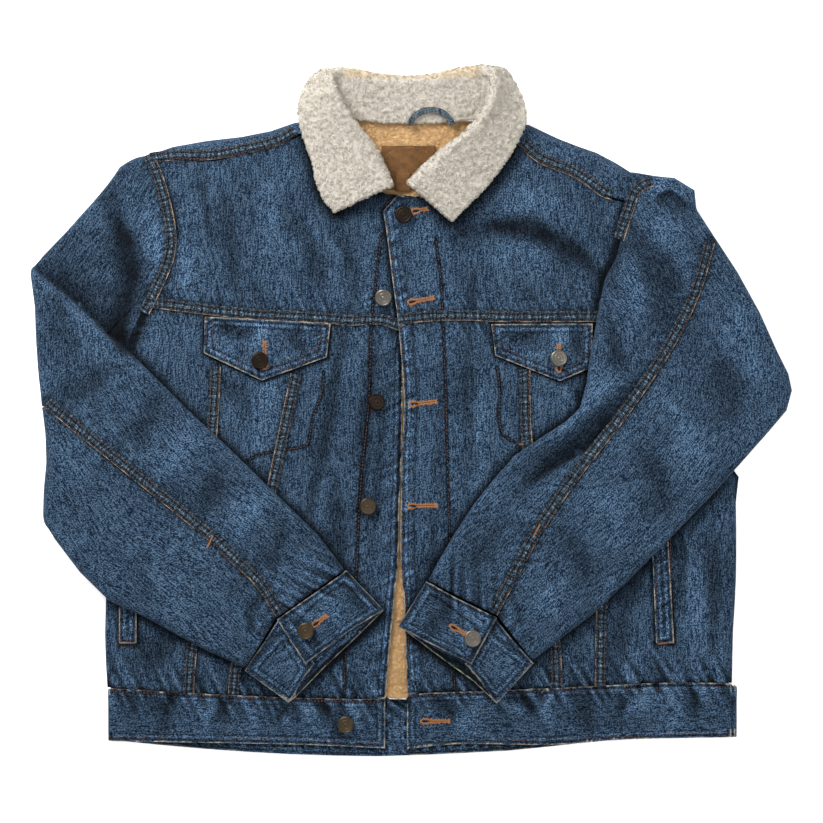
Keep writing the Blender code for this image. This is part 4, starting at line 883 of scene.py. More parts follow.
CUFF_FOLDS = [
    ([(-120, -200), (-100, -220), (-90, -240)], -0.6, 6), ([(-95, -180), (-74, -204), (-62, -222)], 0.6, 7),
    ([(-70, -166), (-56, -184), (-44, -204)], -0.7, 5), ([(-112, -196), (-104, -206), (-94, -200)], 0.6, 5),
    ([(40, -184), (28, -208), (18, -224)], -0.6, 6), ([(70, -196), (60, -220), (50, -240)], 0.6, 7),
    ([(24, -176), (38, -196), (32, -214)], -0.7, 5),
    ([(-34, -206), (-54, -228), (-86, -257), (-114, -284)], -2.6, 3.5),
    ([(10, -233), (30, -243), (47, -251), (66, -272), (82, -287)], -2.6, 3.5),
]
CUFF_GATHERS = [(CUFF_SEAM_RIGHT, 2.2, 12.0, 18), (CUFF_SEAM_LEFT, 2.2, 12.0, 18)]
CUFF_MOUTHS = {
    # the line beyond which the far layer's inside shows, and the side of the line it is on
    "right_cuff": ([(-30, -199), (-52, -224), (-85, -254), (-118, -289)], 1),
    "left_cuff": ([(9, -232), (47, -251), (68, -277), (85, -292)], -1),
}
denim_inside = make_denim("denim_inside", (1.2, 1.35, 1.0))
cuff_height = body_height(CUFF_GATHERS, CUFF_FOLDS, 17, 26.0, 2.2)
right_cuff = dress("right_cuff", "right_cuff_cloth", cuff_height, grain=turned_grain(-53), worn=None)
left_cuff = dress("left_cuff", "left_cuff_cloth", cuff_height, grain=turned_grain(62), worn=None)
for piece, node in ((right_cuff, "right_cuff"), (left_cuff, "left_cuff")):
    line, side = CUFF_MOUTHS[node]
    piece.data.materials.append(denim_inside)
    middles = np.array([face.center[:2] for face in piece.data.polygons]) / MM
    beyond = along(middles, line)[2] * side > 0
    piece.data.polygons.foreach_set("material_index", beyond.astype(np.int32))

# --------------------------------------------------------------------------------------------------
# Pocket flaps and the welts of the hand pockets.

FLAP_RIGHT = [(-207.3, 96), (-208, 58.4), (-149.7, 31), (-84.7, 54.4), (-80.7, 88.5)]
FLAP_LEFT = [(80, 85.3), (84, 56), (148.5, 30.6), (180, 44), (181.6, 88.6)]
FLAP_FOLDS = [
    ([(-190, 88), (-172, 78), (-160, 80)], -0.9, 6), ([(-176, 70), (-182, 56), (-168, 48)], 0.5, 7),
    ([(-110, 86), (-116, 72), (-104, 60)], -0.6, 6), ([(-146, 90), (-148, 74), (-146, 58)], 0.7, 8),
    ([(96, 78), (112, 74), (124, 78)], -0.7, 6), ([(110, 62), (126, 54), (136, 60)], 0.5, 6),
    ([(170, 80), (166, 66), (170, 54)], -0.6, 6), ([(150, 86), (152, 70), (148, 56)], 0.7, 8),
]
FLAP_GATHERS = [(FLAP_RIGHT, 1.4, 9.0, 13), (FLAP_LEFT, 1.4, 9.0, 13)]
flap_height = body_height(FLAP_GATHERS, FLAP_FOLDS, 23, 24.0, 3.2)
right_flap = dress("right_pocket_flap", "right_flap_cloth", flap_height, fine=2.2, worn=None)
left_flap = dress("left_pocket_flap", "left_flap_cloth", flap_height, fine=2.2, worn=None)
WELT_RIGHT = [(-284.3, -108), (-284.3, -232)]
WELT_LEFT = [(251.5, -120), (254, -233)]
welt_height = body_height([(WELT_RIGHT, 1.4, 9.0, 12), (WELT_LEFT, 1.4, 9.0, 12)], [], 29, 24.0)
right_welt = dress("right_welt", "right_welt_cloth", welt_height, fine=2.2, worn=None)
left_welt = dress("left_welt", "left_welt_cloth", welt_height, fine=2.2, worn=None)

# --------------------------------------------------------------------------------------------------
# Felled seams: a strip of doubled cloth laid along each seam, gathered between its two rows of stitches, with
# the worn edge of its fold on one side.

STRIP_WIDTH = 11.0
STRIP_RISE = 1.0
STRIP_STEP = 1.0
TREES = {}


def even(line, step):
    """Places along a line at an even step, its corners eased, and how far along each one is."""
    points = np.asarray(line, float)
    for _ in range(3):
        starts, ends = points[:-1], points[1:]
        cut = np.stack([starts * 0.75 + ends * 0.25, starts * 0.25 + ends * 0.75], axis=1).reshape(-1, 2)
        points = np.vstack([points[:1], cut, points[-1:]])
    run = np.concatenate([[0], np.cumsum(np.hypot(*np.diff(points, axis=0).T))])
    at = np.linspace(0, run[-1], max(3, round(run[-1] / step) + 1))
    return np.column_stack([np.interp(at, run, points[:, 0]), np.interp(at, run, points[:, 1])]), at


def leftward(points):
    """Unit vectors to the left of a path, in plan."""
    ahead = np.gradient(points, axis=0)
    ahead /= np.maximum(np.hypot(ahead[:, 0], ahead[:, 1]), 1e-9)[:, None]
    return np.column_stack([-ahead[:, 1], ahead[:, 0]])


def tops(points, under):
    """The height in millimetres of the highest of some pieces at each plan point; nan where there is none."""
    heights = np.full(len(points), np.nan)
    for piece in under:
        if piece.name not in TREES:
            TREES[piece.name] = BVHTree.FromObject(piece, bpy.context.evaluated_depsgraph_get())
        tree = TREES[piece.name]
        for i, (x, y) in enumerate(points):
            hit = tree.ray_cast(Vector((x * MM, y * MM, 0.2)), Vector((0, 0, -1)))[0]
            if hit and not heights[i] > hit.z / MM:
                heights[i] = hit.z / MM
    return heights


def steady(values, reach):
    """Values along a path, evened over a few neighbours, with gaps filled in."""
    known = ~np.isnan(values)
    if not known.any():
        return np.zeros(len(values))
    filled = np.interp(np.arange(len(values)), np.nonzero(known)[0], values[known])
    padded = np.pad(filled, reach, mode="edge")
    kernel = np.hanning(2 * reach + 3)[1:-1]
    return np.convolve(padded, kernel / kernel.sum(), mode="valid")


def closed_sheet(name, top, bottom):
    """A closed mesh between two grids of the same shape, the second under the first."""
    rows, columns = top.shape[:2]
    index = np.arange(rows * columns).reshape(rows, columns)
    quads = np.stack([index[:-1, :-1], index[1:, :-1], index[1:, 1:], index[:-1, 1:]], axis=-1).reshape(-1, 4)
    rim = np.concatenate([index[0, :-1], index[:-1, -1], index[-1, :0:-1], index[:0:-1, 0]])
    follow = np.roll(rim, -1)
    count = rows * columns
    sides = np.column_stack([rim, follow, follow + count, rim + count])
    faces = np.vstack([quads[:, ::-1], quads + count, sides]).tolist()
    mesh = bpy.data.meshes.new(name)
    mesh.from_pydata(np.vstack([top.reshape(-1, 3), bottom.reshape(-1, 3)]).tolist(), [], faces)
    mesh.validate()
    bm = bmesh.new()
    bm.from_mesh(mesh)
    bmesh.ops.recalc_face_normals(bm, faces=bm.faces)
    bm.to_mesh(mesh)
    bm.free()
    return mesh


WALL = 3.5  # a strip ends where what it lies on steps up or down by more, in its second half
STRIP_GATHER = 0.25
GATHER_LENGTH = 4.6
GROOVE_PLACE = STRIP_WIDTH / 2 - 1.8  # how far its two rows of stitches run from its middle
GROOVE_WIDTH = 0.6
seam_denim = make_denim("denim_seam", (1.35, 1.12, 0.92))


def strip(name, line, under, worn, seed):
    """A strip of doubled cloth along a line, on what lies under it, its fold worn on its right or left."""
    middle, run = even(line, STRIP_STEP * (1))
    walls = np.nonzero(np.abs(np.diff(tops(middle, under))) > WALL)[0]
    walls = walls[walls > len(run) / 2]
    if len(walls):
        middle, run = middle[: walls[0] + 1], run[: walls[0] + 1]
    offsets = np.concatenate([[-0.5, -0.485], np.linspace(-0.44, 0.44, 11), [0.485, 0.5]]) * STRIP_WIDTH
    places = middle[:, None] + leftward(middle)[:, None] * offsets[None, :, None]
    base = tops(places.reshape(-1, 2), under).reshape(len(run), -1)
    base = np.where(np.isnan(base), np.nanmedian(base, axis=1, keepdims=True), base)
    base = np.maximum(base, np.nanmedian(base, axis=1, keepdims=True) - 1.5)
    base = np.column_stack([steady(column, 3) for column in base.T])
    part = np.abs(offsets) / (STRIP_WIDTH / 2)
    stepped = np.where(offsets < 0, worn[0], worn[1])
    rounded = np.where(stepped, np.clip(3.4 - 2.6 * part**8, 0, 1), np.clip(1.35 - 1.35 * part**6, 0.12, 1))
    groove = 0.35 * np.exp(-(((np.abs(offsets) - GROOVE_PLACE) / GROOVE_WIDTH) ** 2))
    slant = waves(run, 60, seed + 3)[:, None] * offsets[None, :] * 0.35
    wave = np.stack([waves(run + slant[:, k], GATHER_LENGTH, seed) for k in range(len(offsets))], axis=1)
    wave = np.tanh(3 * wave)
    gathers = wave * STRIP_GATHER * (1 - part**4)[None, :]
    top = base + STRIP_RISE * rounded[None, :] - groove[None, :] + gathers
    top = np.maximum(top, 0.8)
    bottom = np.clip(base - 0.5, 0.1, top - 0.3)
    mesh = closed_sheet(name, np.dstack([places, top]) * MM, np.dstack([places, bottom]) * MM)
    far = np.full(base.shape, FAR)
    if worn[0]:
        far = np.minimum(far, (offsets + STRIP_WIDTH / 2)[None, :])
    if worn[1]:
        far = np.minimum(far, (STRIP_WIDTH / 2 - offsets)[None, :])
    write_attribute(mesh, "edge", np.concatenate([far.ravel() + 0.3, np.full(far.size, FAR)]))
    # Painted shade and highlight across the gathers, painted shade in the stitch grooves, and the strip
    # darker overall.
    relief_and_shade = (0.75 * wave - groove[None, :] * 1.6 - 0.35).ravel()
    write_attribute(mesh, "relief_and_shade", np.concatenate([relief_and_shade, relief_and_shade]))
    write_attribute(mesh, "row", np.full(2 * relief_and_shade.size, FAR))
    across, down = np.broadcast_to(offsets, base.shape), np.broadcast_to(run[:, None], base.shape)
    flat = np.dstack([across, down, base * 0]).reshape(-1, 3)
    write_attribute(mesh, "grain", np.concatenate([flat, flat]), "FLOAT_VECTOR")
    mesh.shade_smooth()
    piece = add_piece(name, mesh, seam_denim)
    return piece


thread_rust = bpy.data.materials.new("thread_rust")
shader(thread_rust, Base_Color=(0.15, 0.070, 0.048, 1), Roughness=0.8)
thread_orange = bpy.data.materials.new("thread_orange")
shader(thread_orange, Base_Color=(0.38, 0.165, 0.062, 1), Roughness=0.8)


def bead():
    """The corners and faces of one stitch: a round bar 1 long along x and 1 thick, closed."""
    rings = [(-0.40, 0.75), (0.0, 1.0), (0.40, 0.75)]
    sides = 6
    corners = [(-0.5, 0, 0)]
    for x, share in rings:
        for k in range(sides):
            angle = 2 * math.pi * k / sides
            corners.append((x, 0.5 * share * math.cos(angle), 0.5 * share * math.sin(angle)))
    corners.append((0.5, 0, 0))
    last = len(corners) - 1
    faces = []
    for k in range(sides):
        follow = (k + 1) % sides
        faces.append((0, 1 + follow, 1 + k))
        faces.append((last, last - sides + k, last - sides + follow))
        for ring in range(len(rings) - 1):
            a, b = 1 + ring * sides, 1 + (ring + 1) * sides
            faces.append((a + k, a + follow, b + follow))
            faces.append((a + k, b + follow, b + k))
    return np.array(corners), faces


def bars(name, ends, thick, material):
    """One piece of thread made of many short bars, each between two points in millimetres."""
    ends = np.asarray(ends, float)
    starts, stops = ends[:, 0], ends[:, 1]
    span = stops - starts
    length = np.linalg.norm(span, axis=1)
    ahead = span / length[:, None]
    side = np.column_stack([-ahead[:, 1], ahead[:, 0], np.zeros(len(ahead))])
    side /= np.maximum(np.linalg.norm(side, axis=1), 1e-6)[:, None]
    up = np.cross(ahead, side)
    corners, faces = bead()
    points = (starts + stops)[:, None] / 2
    points = points + ahead[:, None] * (corners[None, :, 0:1] * length[:, None, None])
    points = points + (side[:, None] * corners[None, :, 1:2] + up[:, None] * corners[None, :, 2:3]) * thick
    faces = (np.array(faces)[None] + np.arange(len(ends))[:, None, None] * len(corners)).reshape(-1, 3)
    mesh = bpy.data.meshes.new(name)
    mesh.from_pydata((points.reshape(-1, 3) * MM).tolist(), [], faces.tolist())
    mesh.shade_smooth()
    return add_piece(name, mesh, material)


STITCH_LENGTH = 2.5
STITCH_GAP = 1.0
STITCH_THICK = 0.7
STITCH_SUNK = 0.05


def stitched(rows, under):
    """The bars of rows of stitches: each row a line and its offset to the left, laid on what is under it."""
    made = []
    for line, offset in rows:
        middle, run = even(line, 0.5)
        path = middle + leftward(middle) * offset
        run = np.concatenate([[0], np.cumsum(np.hypot(*np.diff(path, axis=0).T))])
        starts = np.arange(0.6, run[-1] - STITCH_LENGTH, STITCH_LENGTH + STITCH_GAP)
        at = np.concatenate([starts, starts + STITCH_LENGTH])
        places = np.column_stack([np.interp(at, run, path[:, 0]), np.interp(at, run, path[:, 1])])
        heights = steady(tops(places, under), 1) - STITCH_SUNK
        points = np.column_stack([places, heights])
        made += list(zip(points[: len(starts)], points[len(starts):]))
    return made


BODY = RIGHT_FRONT + LEFT_FRONT + [back_yoke]
SEAMS = [
    # name, line, what lies under it, worn sides (right and left of the line), seed
    ("chest_seam_right", CHEST_RIGHT, RIGHT_FRONT, (True, False), 41),
    ("chest_seam_left", CHEST_LEFT, LEFT_FRONT, (True, False), 42),
    ("shoulder_seam_right", SHOULDER_RIGHT, BODY, (True, False), 43),
    ("shoulder_seam_left", SHOULDER_LEFT, BODY, (True, False), 44),
    ("v_seam_outer_right", V_OUT_RIGHT, RIGHT_FRONT, (False, True), 45),
    ("v_seam_inner_right", V_IN_RIGHT, RIGHT_FRONT, (True, False), 46),
    ("v_seam_inner_left", V_IN_LEFT, LEFT_FRONT, (False, True), 47),
    ("v_seam_outer_left", V_OUT_LEFT, LEFT_FRONT, (True, False), 48),
    ("arm_seam_right", ARM_FELLED_RIGHT, RIGHT_FRONT + RIGHT_SLEEVE + [back_yoke], (False, True), 49),
    ("arm_seam_left", ARM_LEFT, LEFT_SLEEVE, (False, True), 52),
    ("elbow_seam_right", ELBOW_RIGHT, RIGHT_SLEEVE, (True, False), 50),
    ("elbow_seam_left", ELBOW_LEFT, LEFT_SLEEVE, (False, True), 51),
]
STRIPS = {}
for name, line, under, worn, seed in SEAMS:
    STRIPS[name] = strip(name, line, under, worn, seed)
    rows = [(line, GROOVE_PLACE), (line, -GROOVE_PLACE)]
    bars(name + "_thread", stitched(rows, [STRIPS[name]]), STITCH_THICK, thread_rust)

WAIST_ROWS = [(WAIST_TOP[:3], -3), (WAIST_TOP[3:], -3), (WAIST_BOTTOM[:3], 5), (WAIST_BOTTOM[3:], 5)]
ROWS = [
    # name, each row's line and its offset to the left, what it is sewn on
    ("right_placket_thread", [(PLACKET_RIGHT, 0), (POCKET_RIGHT, 0), (WAIST_RIGHT, -2)],
     RIGHT_FRONT + [waistband]),
    ("left_placket_thread", [(PLACKET_LEFT, 0), (POCKET_LEFT, 0), (LEFT_EDGE, 2.6)],
     LEFT_FRONT + [waistband]),
    ("waistband_thread", WAIST_ROWS, [waistband]),
    ("right_flap_thread", [(FLAP_RIGHT, 2.4), (FLAP_RIGHT, 8.5)], [right_flap]),
    ("left_flap_thread", [(FLAP_LEFT, 2.4), (FLAP_LEFT, 8.5)], [left_flap]),
    ("right_welt_thread", [(WELT_RIGHT, 7.4), (WELT_RIGHT, -7.4)], [right_welt]),
    ("left_welt_thread", [(WELT_LEFT, 7.4), (WELT_LEFT, -7.4)], [left_welt]),
]
for name, rows, under in ROWS:
    bars(name, stitched(rows, under), STITCH_THICK, thread_rust)

# --------------------------------------------------------------------------------------------------
# Shank buttons, their buttonholes and the bar tacks.

FINISHES = {}
for name, colour, rough in (
    ("pewter", (0.21, 0.195, 0.165), 0.38),
    ("bronze", (0.095, 0.070, 0.043), 0.4),
    ("blackened", (0.030, 0.020, 0.014), 0.45),
):
    FINISHES[name] = bpy.data.materials.new("button_" + name)
    shader(FINISHES[name], Base_Color=(*colour, 1), Metallic=0.9, Roughness=rough)
BUTTONS = [
    # node, name, finish and tilt
    ("front_button_1", "button_neck", "blackened", (0, 0)),
    ("front_button_2", "button_chest", "pewter", (8, -4)),
    ("front_button_3", "button_upper", "blackened", (-6, 22)),
    ("front_button_4", "button_lower", "bronze", (5, 6)),
    ("front_button_5", "button_waist", "bronze", (0, -5)),
    ("right_flap_button", "button_flap_right", "blackened", (4, 3)),
    ("left_flap_button", "button_flap_left", "pewter", (-4, 5)),
    ("right_cuff_button", "button_cuff_right", "bronze", (3, -6)),
    ("left_cuff_button", "button_cuff_left", "pewter", (-3, 4)),
]
BUTTON_RINGS = ((0.84, 0.55), (0.50, 0.45))  # share of the button's radius, and thickness in mm
KNOB_RADIUS = 1.5
for node, name, finish, tilt in BUTTONS:
    low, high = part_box(node)
    middle = (low + high) / 2
    across = (high.x - low.x) / 2
    bpy.ops.object.select_all(action="DESELECT")
    parts = []
    bpy.ops.mesh.primitive_cylinder_add(vertices=40, radius=across, depth=high.z - low.z, location=middle)
    body = bpy.context.object
    bevel = body.modifiers.new("edge", "BEVEL")
    bevel.width = 1.3 * MM
    bevel.segments = 4
    bevel.angle_limit = math.radians(40)
    bpy.ops.object.modifier_apply(modifier="edge")
    parts.append(body)
    face = (middle.x, middle.y, high.z)
    for share, thick in BUTTON_RINGS:
        bpy.ops.mesh.primitive_torus_add(location=face, major_radius=across * share, minor_radius=thick * MM,
                                         major_segments=40, minor_segments=8)
        parts.append(bpy.context.object)
    bpy.ops.mesh.primitive_uv_sphere_add(segments=20, ring_count=10, radius=KNOB_RADIUS * MM, location=face)
    bpy.context.object.scale = (1, 1, 0.5)
    parts.append(bpy.context.object)
    for part in parts:
        part.select_set(True)
    bpy.context.view_layer.objects.active = body
    bpy.ops.object.join()
    button = bpy.context.object
    button.name = name
    button.rotation_euler = (math.radians(tilt[0]), math.radians(tilt[1]), 0)
    bpy.ops.object.transform_apply(location=True, rotation=True, scale=True)
    bpy.ops.object.shade_smooth_by_angle(angle=math.radians(40))
    button.data.materials.clear()
    button.data.materials.append(FINISHES[finish])
    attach(button, "root")
    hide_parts(node)


# A dark bar in each buttonhole's slit, the painted shadow of its opening.
slit_shadow = bpy.data.materials.new("slit_shadow")
shader(slit_shadow, Base_Color=(0.006, 0.007, 0.010, 1), Roughness=1.0)


def directed(start, stop):
    """Two places, the unit vectors along and to the left of the way between them, and its length."""
    start, stop = np.array(start, float), np.array(stop, float)
    length = np.linalg.norm(stop - start)
    ahead = (stop - start) / length
    return start, stop, ahead, np.array([-ahead[1], ahead[0]]), length


def bars_on(name, places, under, raised, thick):
    """Bars of orange thread on what is under them, from pairs of places. Returns their heights."""
    places = np.array(places).reshape(-1, 2)
    heights = tops(places, under)
    heights = np.where(np.isnan(heights), np.nanmedian(heights), heights) + raised
    bars(name, np.column_stack([places, heights]).reshape(-1, 2, 3), thick, thread_orange)
    return heights


EYE_LENGTH = 9.0
EYE_ROOM = 1.2
SLIT_THICK = 1.9


def buttonhole(name, start, stop, under):
    """A keyhole worked in thread from one place to another, its eye at the start."""
    start, stop, ahead, side, length = directed(start, stop)
    chance = random.Random(name)
    made = []
    for k in np.arange(0, length, 0.5):
        eye = math.sin(min((k + 1) / EYE_LENGTH, 1) * math.pi)
        inner = 0.15 + EYE_ROOM * eye
        outer = 1.7 + 1.5 * eye + chance.uniform(-0.4, 0.6)
        for out in (side, -side):
            centre = start + ahead * (k + chance.uniform(-0.2, 0.2))
            slip = ahead * chance.uniform(-0.35, 0.35)
            made.append((centre + out * inner, centre + out * outer + slip))
            if chance.random() < 0.3:
                made.append((centre + out * (outer - 0.6), centre + out * (outer + 0.9) + slip * 3))
    for k in np.arange(-1.8, 1.85, 0.5):
        made.append((stop + side * k - ahead * 1.6, stop + side * k * 1.2 + ahead * chance.uniform(0.4, 1.8)))
        made.append((start + side * k * 0.9 - ahead * chance.uniform(0.9, 1.8),
                     start + side * k * 0.5 + ahead * 0.5))
    heights = bars_on(name, made, under, 0.25, 0.85)
    # The slit: a dark bar that paints the shadow of the opening.
    ends = np.array([start + ahead * 0.8, start + ahead * min(EYE_LENGTH, length * 0.45)])
    level = np.nanmedian(heights) - 0.1
    bars(name + "_slit", [np.column_stack([ends, [level, level]])], SLIT_THICK, slit_shadow)


HOLES = [
    ("hole_neck", (0.5, 200), (16, 203), LEFT_FRONT),
    ("hole_chest", (-3, 109), (22, 114), LEFT_FRONT),
    ("hole_upper", (-2, 7), (25, 10), LEFT_FRONT),
    ("hole_lower", (-3, -95), (25, -94), LEFT_FRONT),
    ("hole_waist", (10, -311), (38, -311), [waistband]),
    ("hole_flap_right", (-147, 43), (-147, 70), [right_flap]),
    ("hole_flap_left", (147.5, 40), (147.5, 67), [left_flap]),
    ("hole_cuff_right", (-98.5, -214), (-84.4, -204), [right_cuff]),
    ("hole_cuff_left", (39, -214), (54, -222), [left_cuff]),
]
for name, start, stop, under in HOLES:
    buttonhole(name, start, stop, under)
TACKS = [
    ("tack_elbow_right", (-198, -124), (-204, -136), RIGHT_SLEEVE + [STRIPS["elbow_seam_right"]]),
    ("tack_elbow_left", (128, -113), (122, -124), LEFT_SLEEVE + [STRIPS["elbow_seam_left"]]),
    ("tack_v_left", (108, -33), (119, -33), LEFT_FRONT),
    ("tack_welt_right", (-292, -232), (-277, -232), [right_welt] + RIGHT_FRONT),
    ("tack_welt_left", (247, -233), (262, -231), [left_welt] + LEFT_FRONT),
]
for name, start, stop, under in TACKS:
    start, stop, ahead, side, length = directed(start, stop)
    places = []
    for k in np.arange(0, length, 0.6):
        places += [start + ahead * k - side * 0.9, start + ahead * k + side * 0.9]
    bars_on(name, places, under, 0.5, 0.7)

# --------------------------------------------------------------------------------------------------
# The pile: the collar's off-white fleece and the tan lining, both in curled locks with painted shade in the
# hollows between them.

# Each ramp runs from painted shade, where the pile lies deep, to the pile's own colour on its tops.
WHITE_PILE = [(0.10, (0.42, 0.37, 0.29)), (0.34, (0.63, 0.585, 0.51)), (0.70, (0.73, 0.685, 0.615))]
TAN_PILE = [(0.15, (0.34, 0.195, 0.080)), (0.40, (0.66, 0.43, 0.21)), (0.75, (0.84, 0.59, 0.32))]
WARM_PILE = (0.62, 0.50, 0.33)
LOCK_TONE = 0.12
HAIR_TONE = 0.13
# Painted shade where the pile lies deep.
DEPTH_SHADE = 0.36


def make_pile(name, stops):
    """Pile with painted shade where it lies deep, and yellower where it is worn."""
    material = bpy.data.materials.new(name)
    principled = shader(material, Roughness=0.95, Specular_IOR_Level=0.15, Sheen_Weight=0.1,
                        Sheen_Roughness=0.5)
    grain = read_attribute(material, "grain", "Vector")
    depth = read_attribute(material, "relief_and_shade")
    warm = read_attribute(material, "warm")
    lock = streaks(grain, (9.0, 11.0), 0.4, 2.0)
    hair = streaks(grain, (0.8, 2.6), 0.5, 2.0)
    tone = lock * LOCK_TONE + hair * HAIR_TONE + depth * DEPTH_SHADE
    colour = mixed(warm, ramp(tone + 0.3, stops), WARM_PILE)
    plug(material, principled.inputs["Base Color"], colour)
    return material


white_pile = make_pile("white_pile", WHITE_PILE)
tan_pile = make_pile("tan_pile", TAN_PILE)


def locks(places, size, seed):
    """The relief of curled locks at places in millimetres: rounded tops, 1 high, and hollows between."""
    total = np.zeros(len(places))
    for i, place in enumerate(places):
        bend = noise.noise_vector(Vector(place) / (size * 2.2)) * 0.6
        near, following = noise.voronoi(Vector(place) / size + bend + Vector((seed, 0, 0)))[0][:2]
        fine = noise.voronoi(Vector(place) / (size * 0.45) + bend * 2)[0][0]
        total[i] = min((following - near) * 1.6, 1) * 0.7 + (1 - min(fine, 1)) * 0.3
    return total


LEAN_SIZE = 5.0
LEAN = 1.5
BLADE_HALF_WIDTH = 0.34
BLADE_SHADING = [-0.16, -0.16, 0.02, 0.02, 0.16]  # painted shade at its root's two corners, next to none at its middle's, and a painted highlight at its tip


def fleece(name, base, count, length, shown, material, warm, seed):
    """Short curled blades that stand on a piece's faces where a test shows them, leaning in locks."""
    mesh = base.data
    mesh.calc_loop_triangles()
    corners = np.zeros(len(mesh.loop_triangles) * 3, np.int32)
    mesh.loop_triangles.foreach_get("vertices", corners)
    corners = coordinates(mesh)[corners.reshape(-1, 3)]
    cross = np.cross(corners[:, 1] - corners[:, 0], corners[:, 2] - corners[:, 0])
    area = np.linalg.norm(cross, axis=1)
    normal = cross / np.maximum(area, 1e-15)[:, None]
    weight = area * shown(corners.mean(axis=1) / MM, normal)
    chance = np.random.default_rng(seed)
    pick = chance.choice(len(area), count, p=weight / weight.sum())
    a, b = chance.random((2, count, 1))
    flip = a + b > 1
    a, b = np.where(flip, 1 - a, a), np.where(flip, 1 - b, b)
    root = corners[pick, 0] * (1 - a - b) + corners[pick, 1] * a + corners[pick, 2] * b
    up = normal[pick]
    lean = np.array([noise.noise_vector(Vector(place) / (LEAN_SIZE * MM)) for place in root]) * LEAN
    lean += chance.normal(0, 0.35, (count, 3))
    lean -= up * (lean * up).sum(axis=1, keepdims=True)
    side = np.cross(up, lean)
    side /= np.maximum(np.linalg.norm(side, axis=1, keepdims=True), 1e-6)
    tall = length * MM * chance.uniform(0.6, 1.1, (count, 1))
    middle = root + (up * 0.4 + lean * 0.3) * tall
    tip = root + (up * 0.5 + lean * 0.85) * tall
    wide = side * BLADE_HALF_WIDTH * MM
    points = np.stack([root - wide, root + wide, middle - wide * 0.8, middle + wide * 0.8, tip], axis=1)
    first = np.arange(count)[:, None] * 5
    quads = first + np.array([0, 1, 3, 2])
    tips = first + np.array([2, 3, 4])
    blades = bpy.data.meshes.new(name)
    blades.from_pydata(points.reshape(-1, 3).tolist(), [], quads.tolist() + tips.tolist())
    write_attribute(blades, "relief_and_shade", np.tile(BLADE_SHADING, count))
    write_attribute(blades, "grain", np.repeat(root / MM, 5, axis=0), "FLOAT_VECTOR")
    write_attribute(blades, "warm", np.repeat(warm(root / MM), 5))
    return add_piece(name, blades, material)


def collar_warmth(places):
    """The fleece is yellowed where the collar rolls back behind the neck."""
    rise = np.clip((places[:, 1] - 331) / 5, 0, 1)
    return 0.75 * rise * np.clip((72 - np.abs(places[:, 0])) / 8, 0, 1)


def no_warmth(places):
    return np.zeros(len(places))


def collar_room(places):
    """The fleece drawn back from the neck, more towards its back, so that the lining shows."""
    x, y = places[:, 0] / MM, places[:, 1] / MM
    for rows, middles, shifts, reach in COLLAR_ROOM:
        away = (x - np.interp(y, rows, middles)) / reach
        x = x + np.interp(y, rows, shifts) * np.exp(-(away**2))
    return np.column_stack([x * MM, places[:, 1], places[:, 2]])


COLLAR_ROOM = [
    # y of each place, x of the wing's inner edge there, how far it moves, and the reach of that
    ((224, 250, 268, 286, 343), (-16.5, -28, -36, -43, -65), (0, -4, -5, -8.5, -11), 22),
    ((227, 262, 280, 300, 343), (-4, 28, 40, 52, 70), (0, 2, 11, 13, 7), 26),
]
COLLAR_VOXEL = 1.5
COLLAR_PILE = 1.2
COLLAR_LOCK = 4.6
bpy.ops.object.select_all(action="DESELECT")
collar_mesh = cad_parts["collar"].data.copy()
collar_mesh.materials.clear()
collar = bpy.data.objects.new("collar_fleece", collar_mesh)
bpy.context.scene.collection.objects.link(collar)
bpy.context.view_layer.objects.active = collar
collar.select_set(True)
remesh = collar.modifiers.new("even", "REMESH")
remesh.mode = "VOXEL"
remesh.voxel_size = COLLAR_VOXEL * MM * 1
bpy.ops.object.modifier_apply(modifier="even")
easing = collar.modifiers.new("ease", "SMOOTH")
easing.factor = 0.5
easing.iterations = 4
bpy.ops.object.modifier_apply(modifier="ease")
collar_mesh = collar.data
place(collar_mesh, collar_room(coordinates(collar_mesh)))
points = coordinates(collar_mesh)
normals = np.array([vert.normal for vert in collar_mesh.vertices])
relief_and_shade = locks(points / MM, COLLAR_LOCK, 3)
place(collar_mesh, points + normals * ((relief_and_shade - 0.55) * COLLAR_PILE * MM)[:, None])
# Painted shade in the hollows between the collar's locks.
write_attribute(collar_mesh, "relief_and_shade", relief_and_shade - 0.6)
write_attribute(collar_mesh, "warm", collar_warmth(points / MM))
write_attribute(collar_mesh, "grain", points / MM, "FLOAT_VECTOR")
collar_mesh.shade_smooth()
collar_mesh.materials.append(white_pile)
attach(collar, "root")
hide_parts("collar")


def collar_shown(places, normal):
    """Where the collar's curls stand: not underneath, and few in the hollows between its locks."""
    return (normal[:, 2] > -0.35) * np.clip(locks(places, COLLAR_LOCK, 3) * 2.5 - 0.5, 0.05, 1)


fleece("collar_curls", collar, 40000, 2.3, collar_shown, white_pile,
       collar_warmth, 5)


LINING_SHOWN = [(-62, 205, 66, 292), (-32, -292, 6, -138)]
LINING_SWELLS = [((62, 288), (16, 8), 30), ((-58, 288), (-6, 5), 30), ((0, 290), (0, 5), 40),
                 ((-14, -282), (0, -13), 26)]
LINING_LOCK = 5.0
LINING_PILE = 1.6


def lining_height(points, places, rim):
    """Locks of pile that stand only where the lining faces up into view."""
    x, y = points[:, 0], points[:, 1]
    shown = np.zeros(len(points))
    for x0, y0, x1, y1 in LINING_SHOWN:
        within = np.minimum(np.minimum(x - x0, x1 - x), np.minimum(y - y0, y1 - y))
        shown = np.maximum(shown, np.clip(within / 4, 0, 1))
    shown *= np.clip((places[:, 2] / MM - 6) / 2, 0, 1)
    seen = shown > 0
    total = np.zeros(len(points))
    total[seen] = (locks(places[seen] / MM, LINING_LOCK, 9) - 0.55) * LINING_PILE
    return total * shown


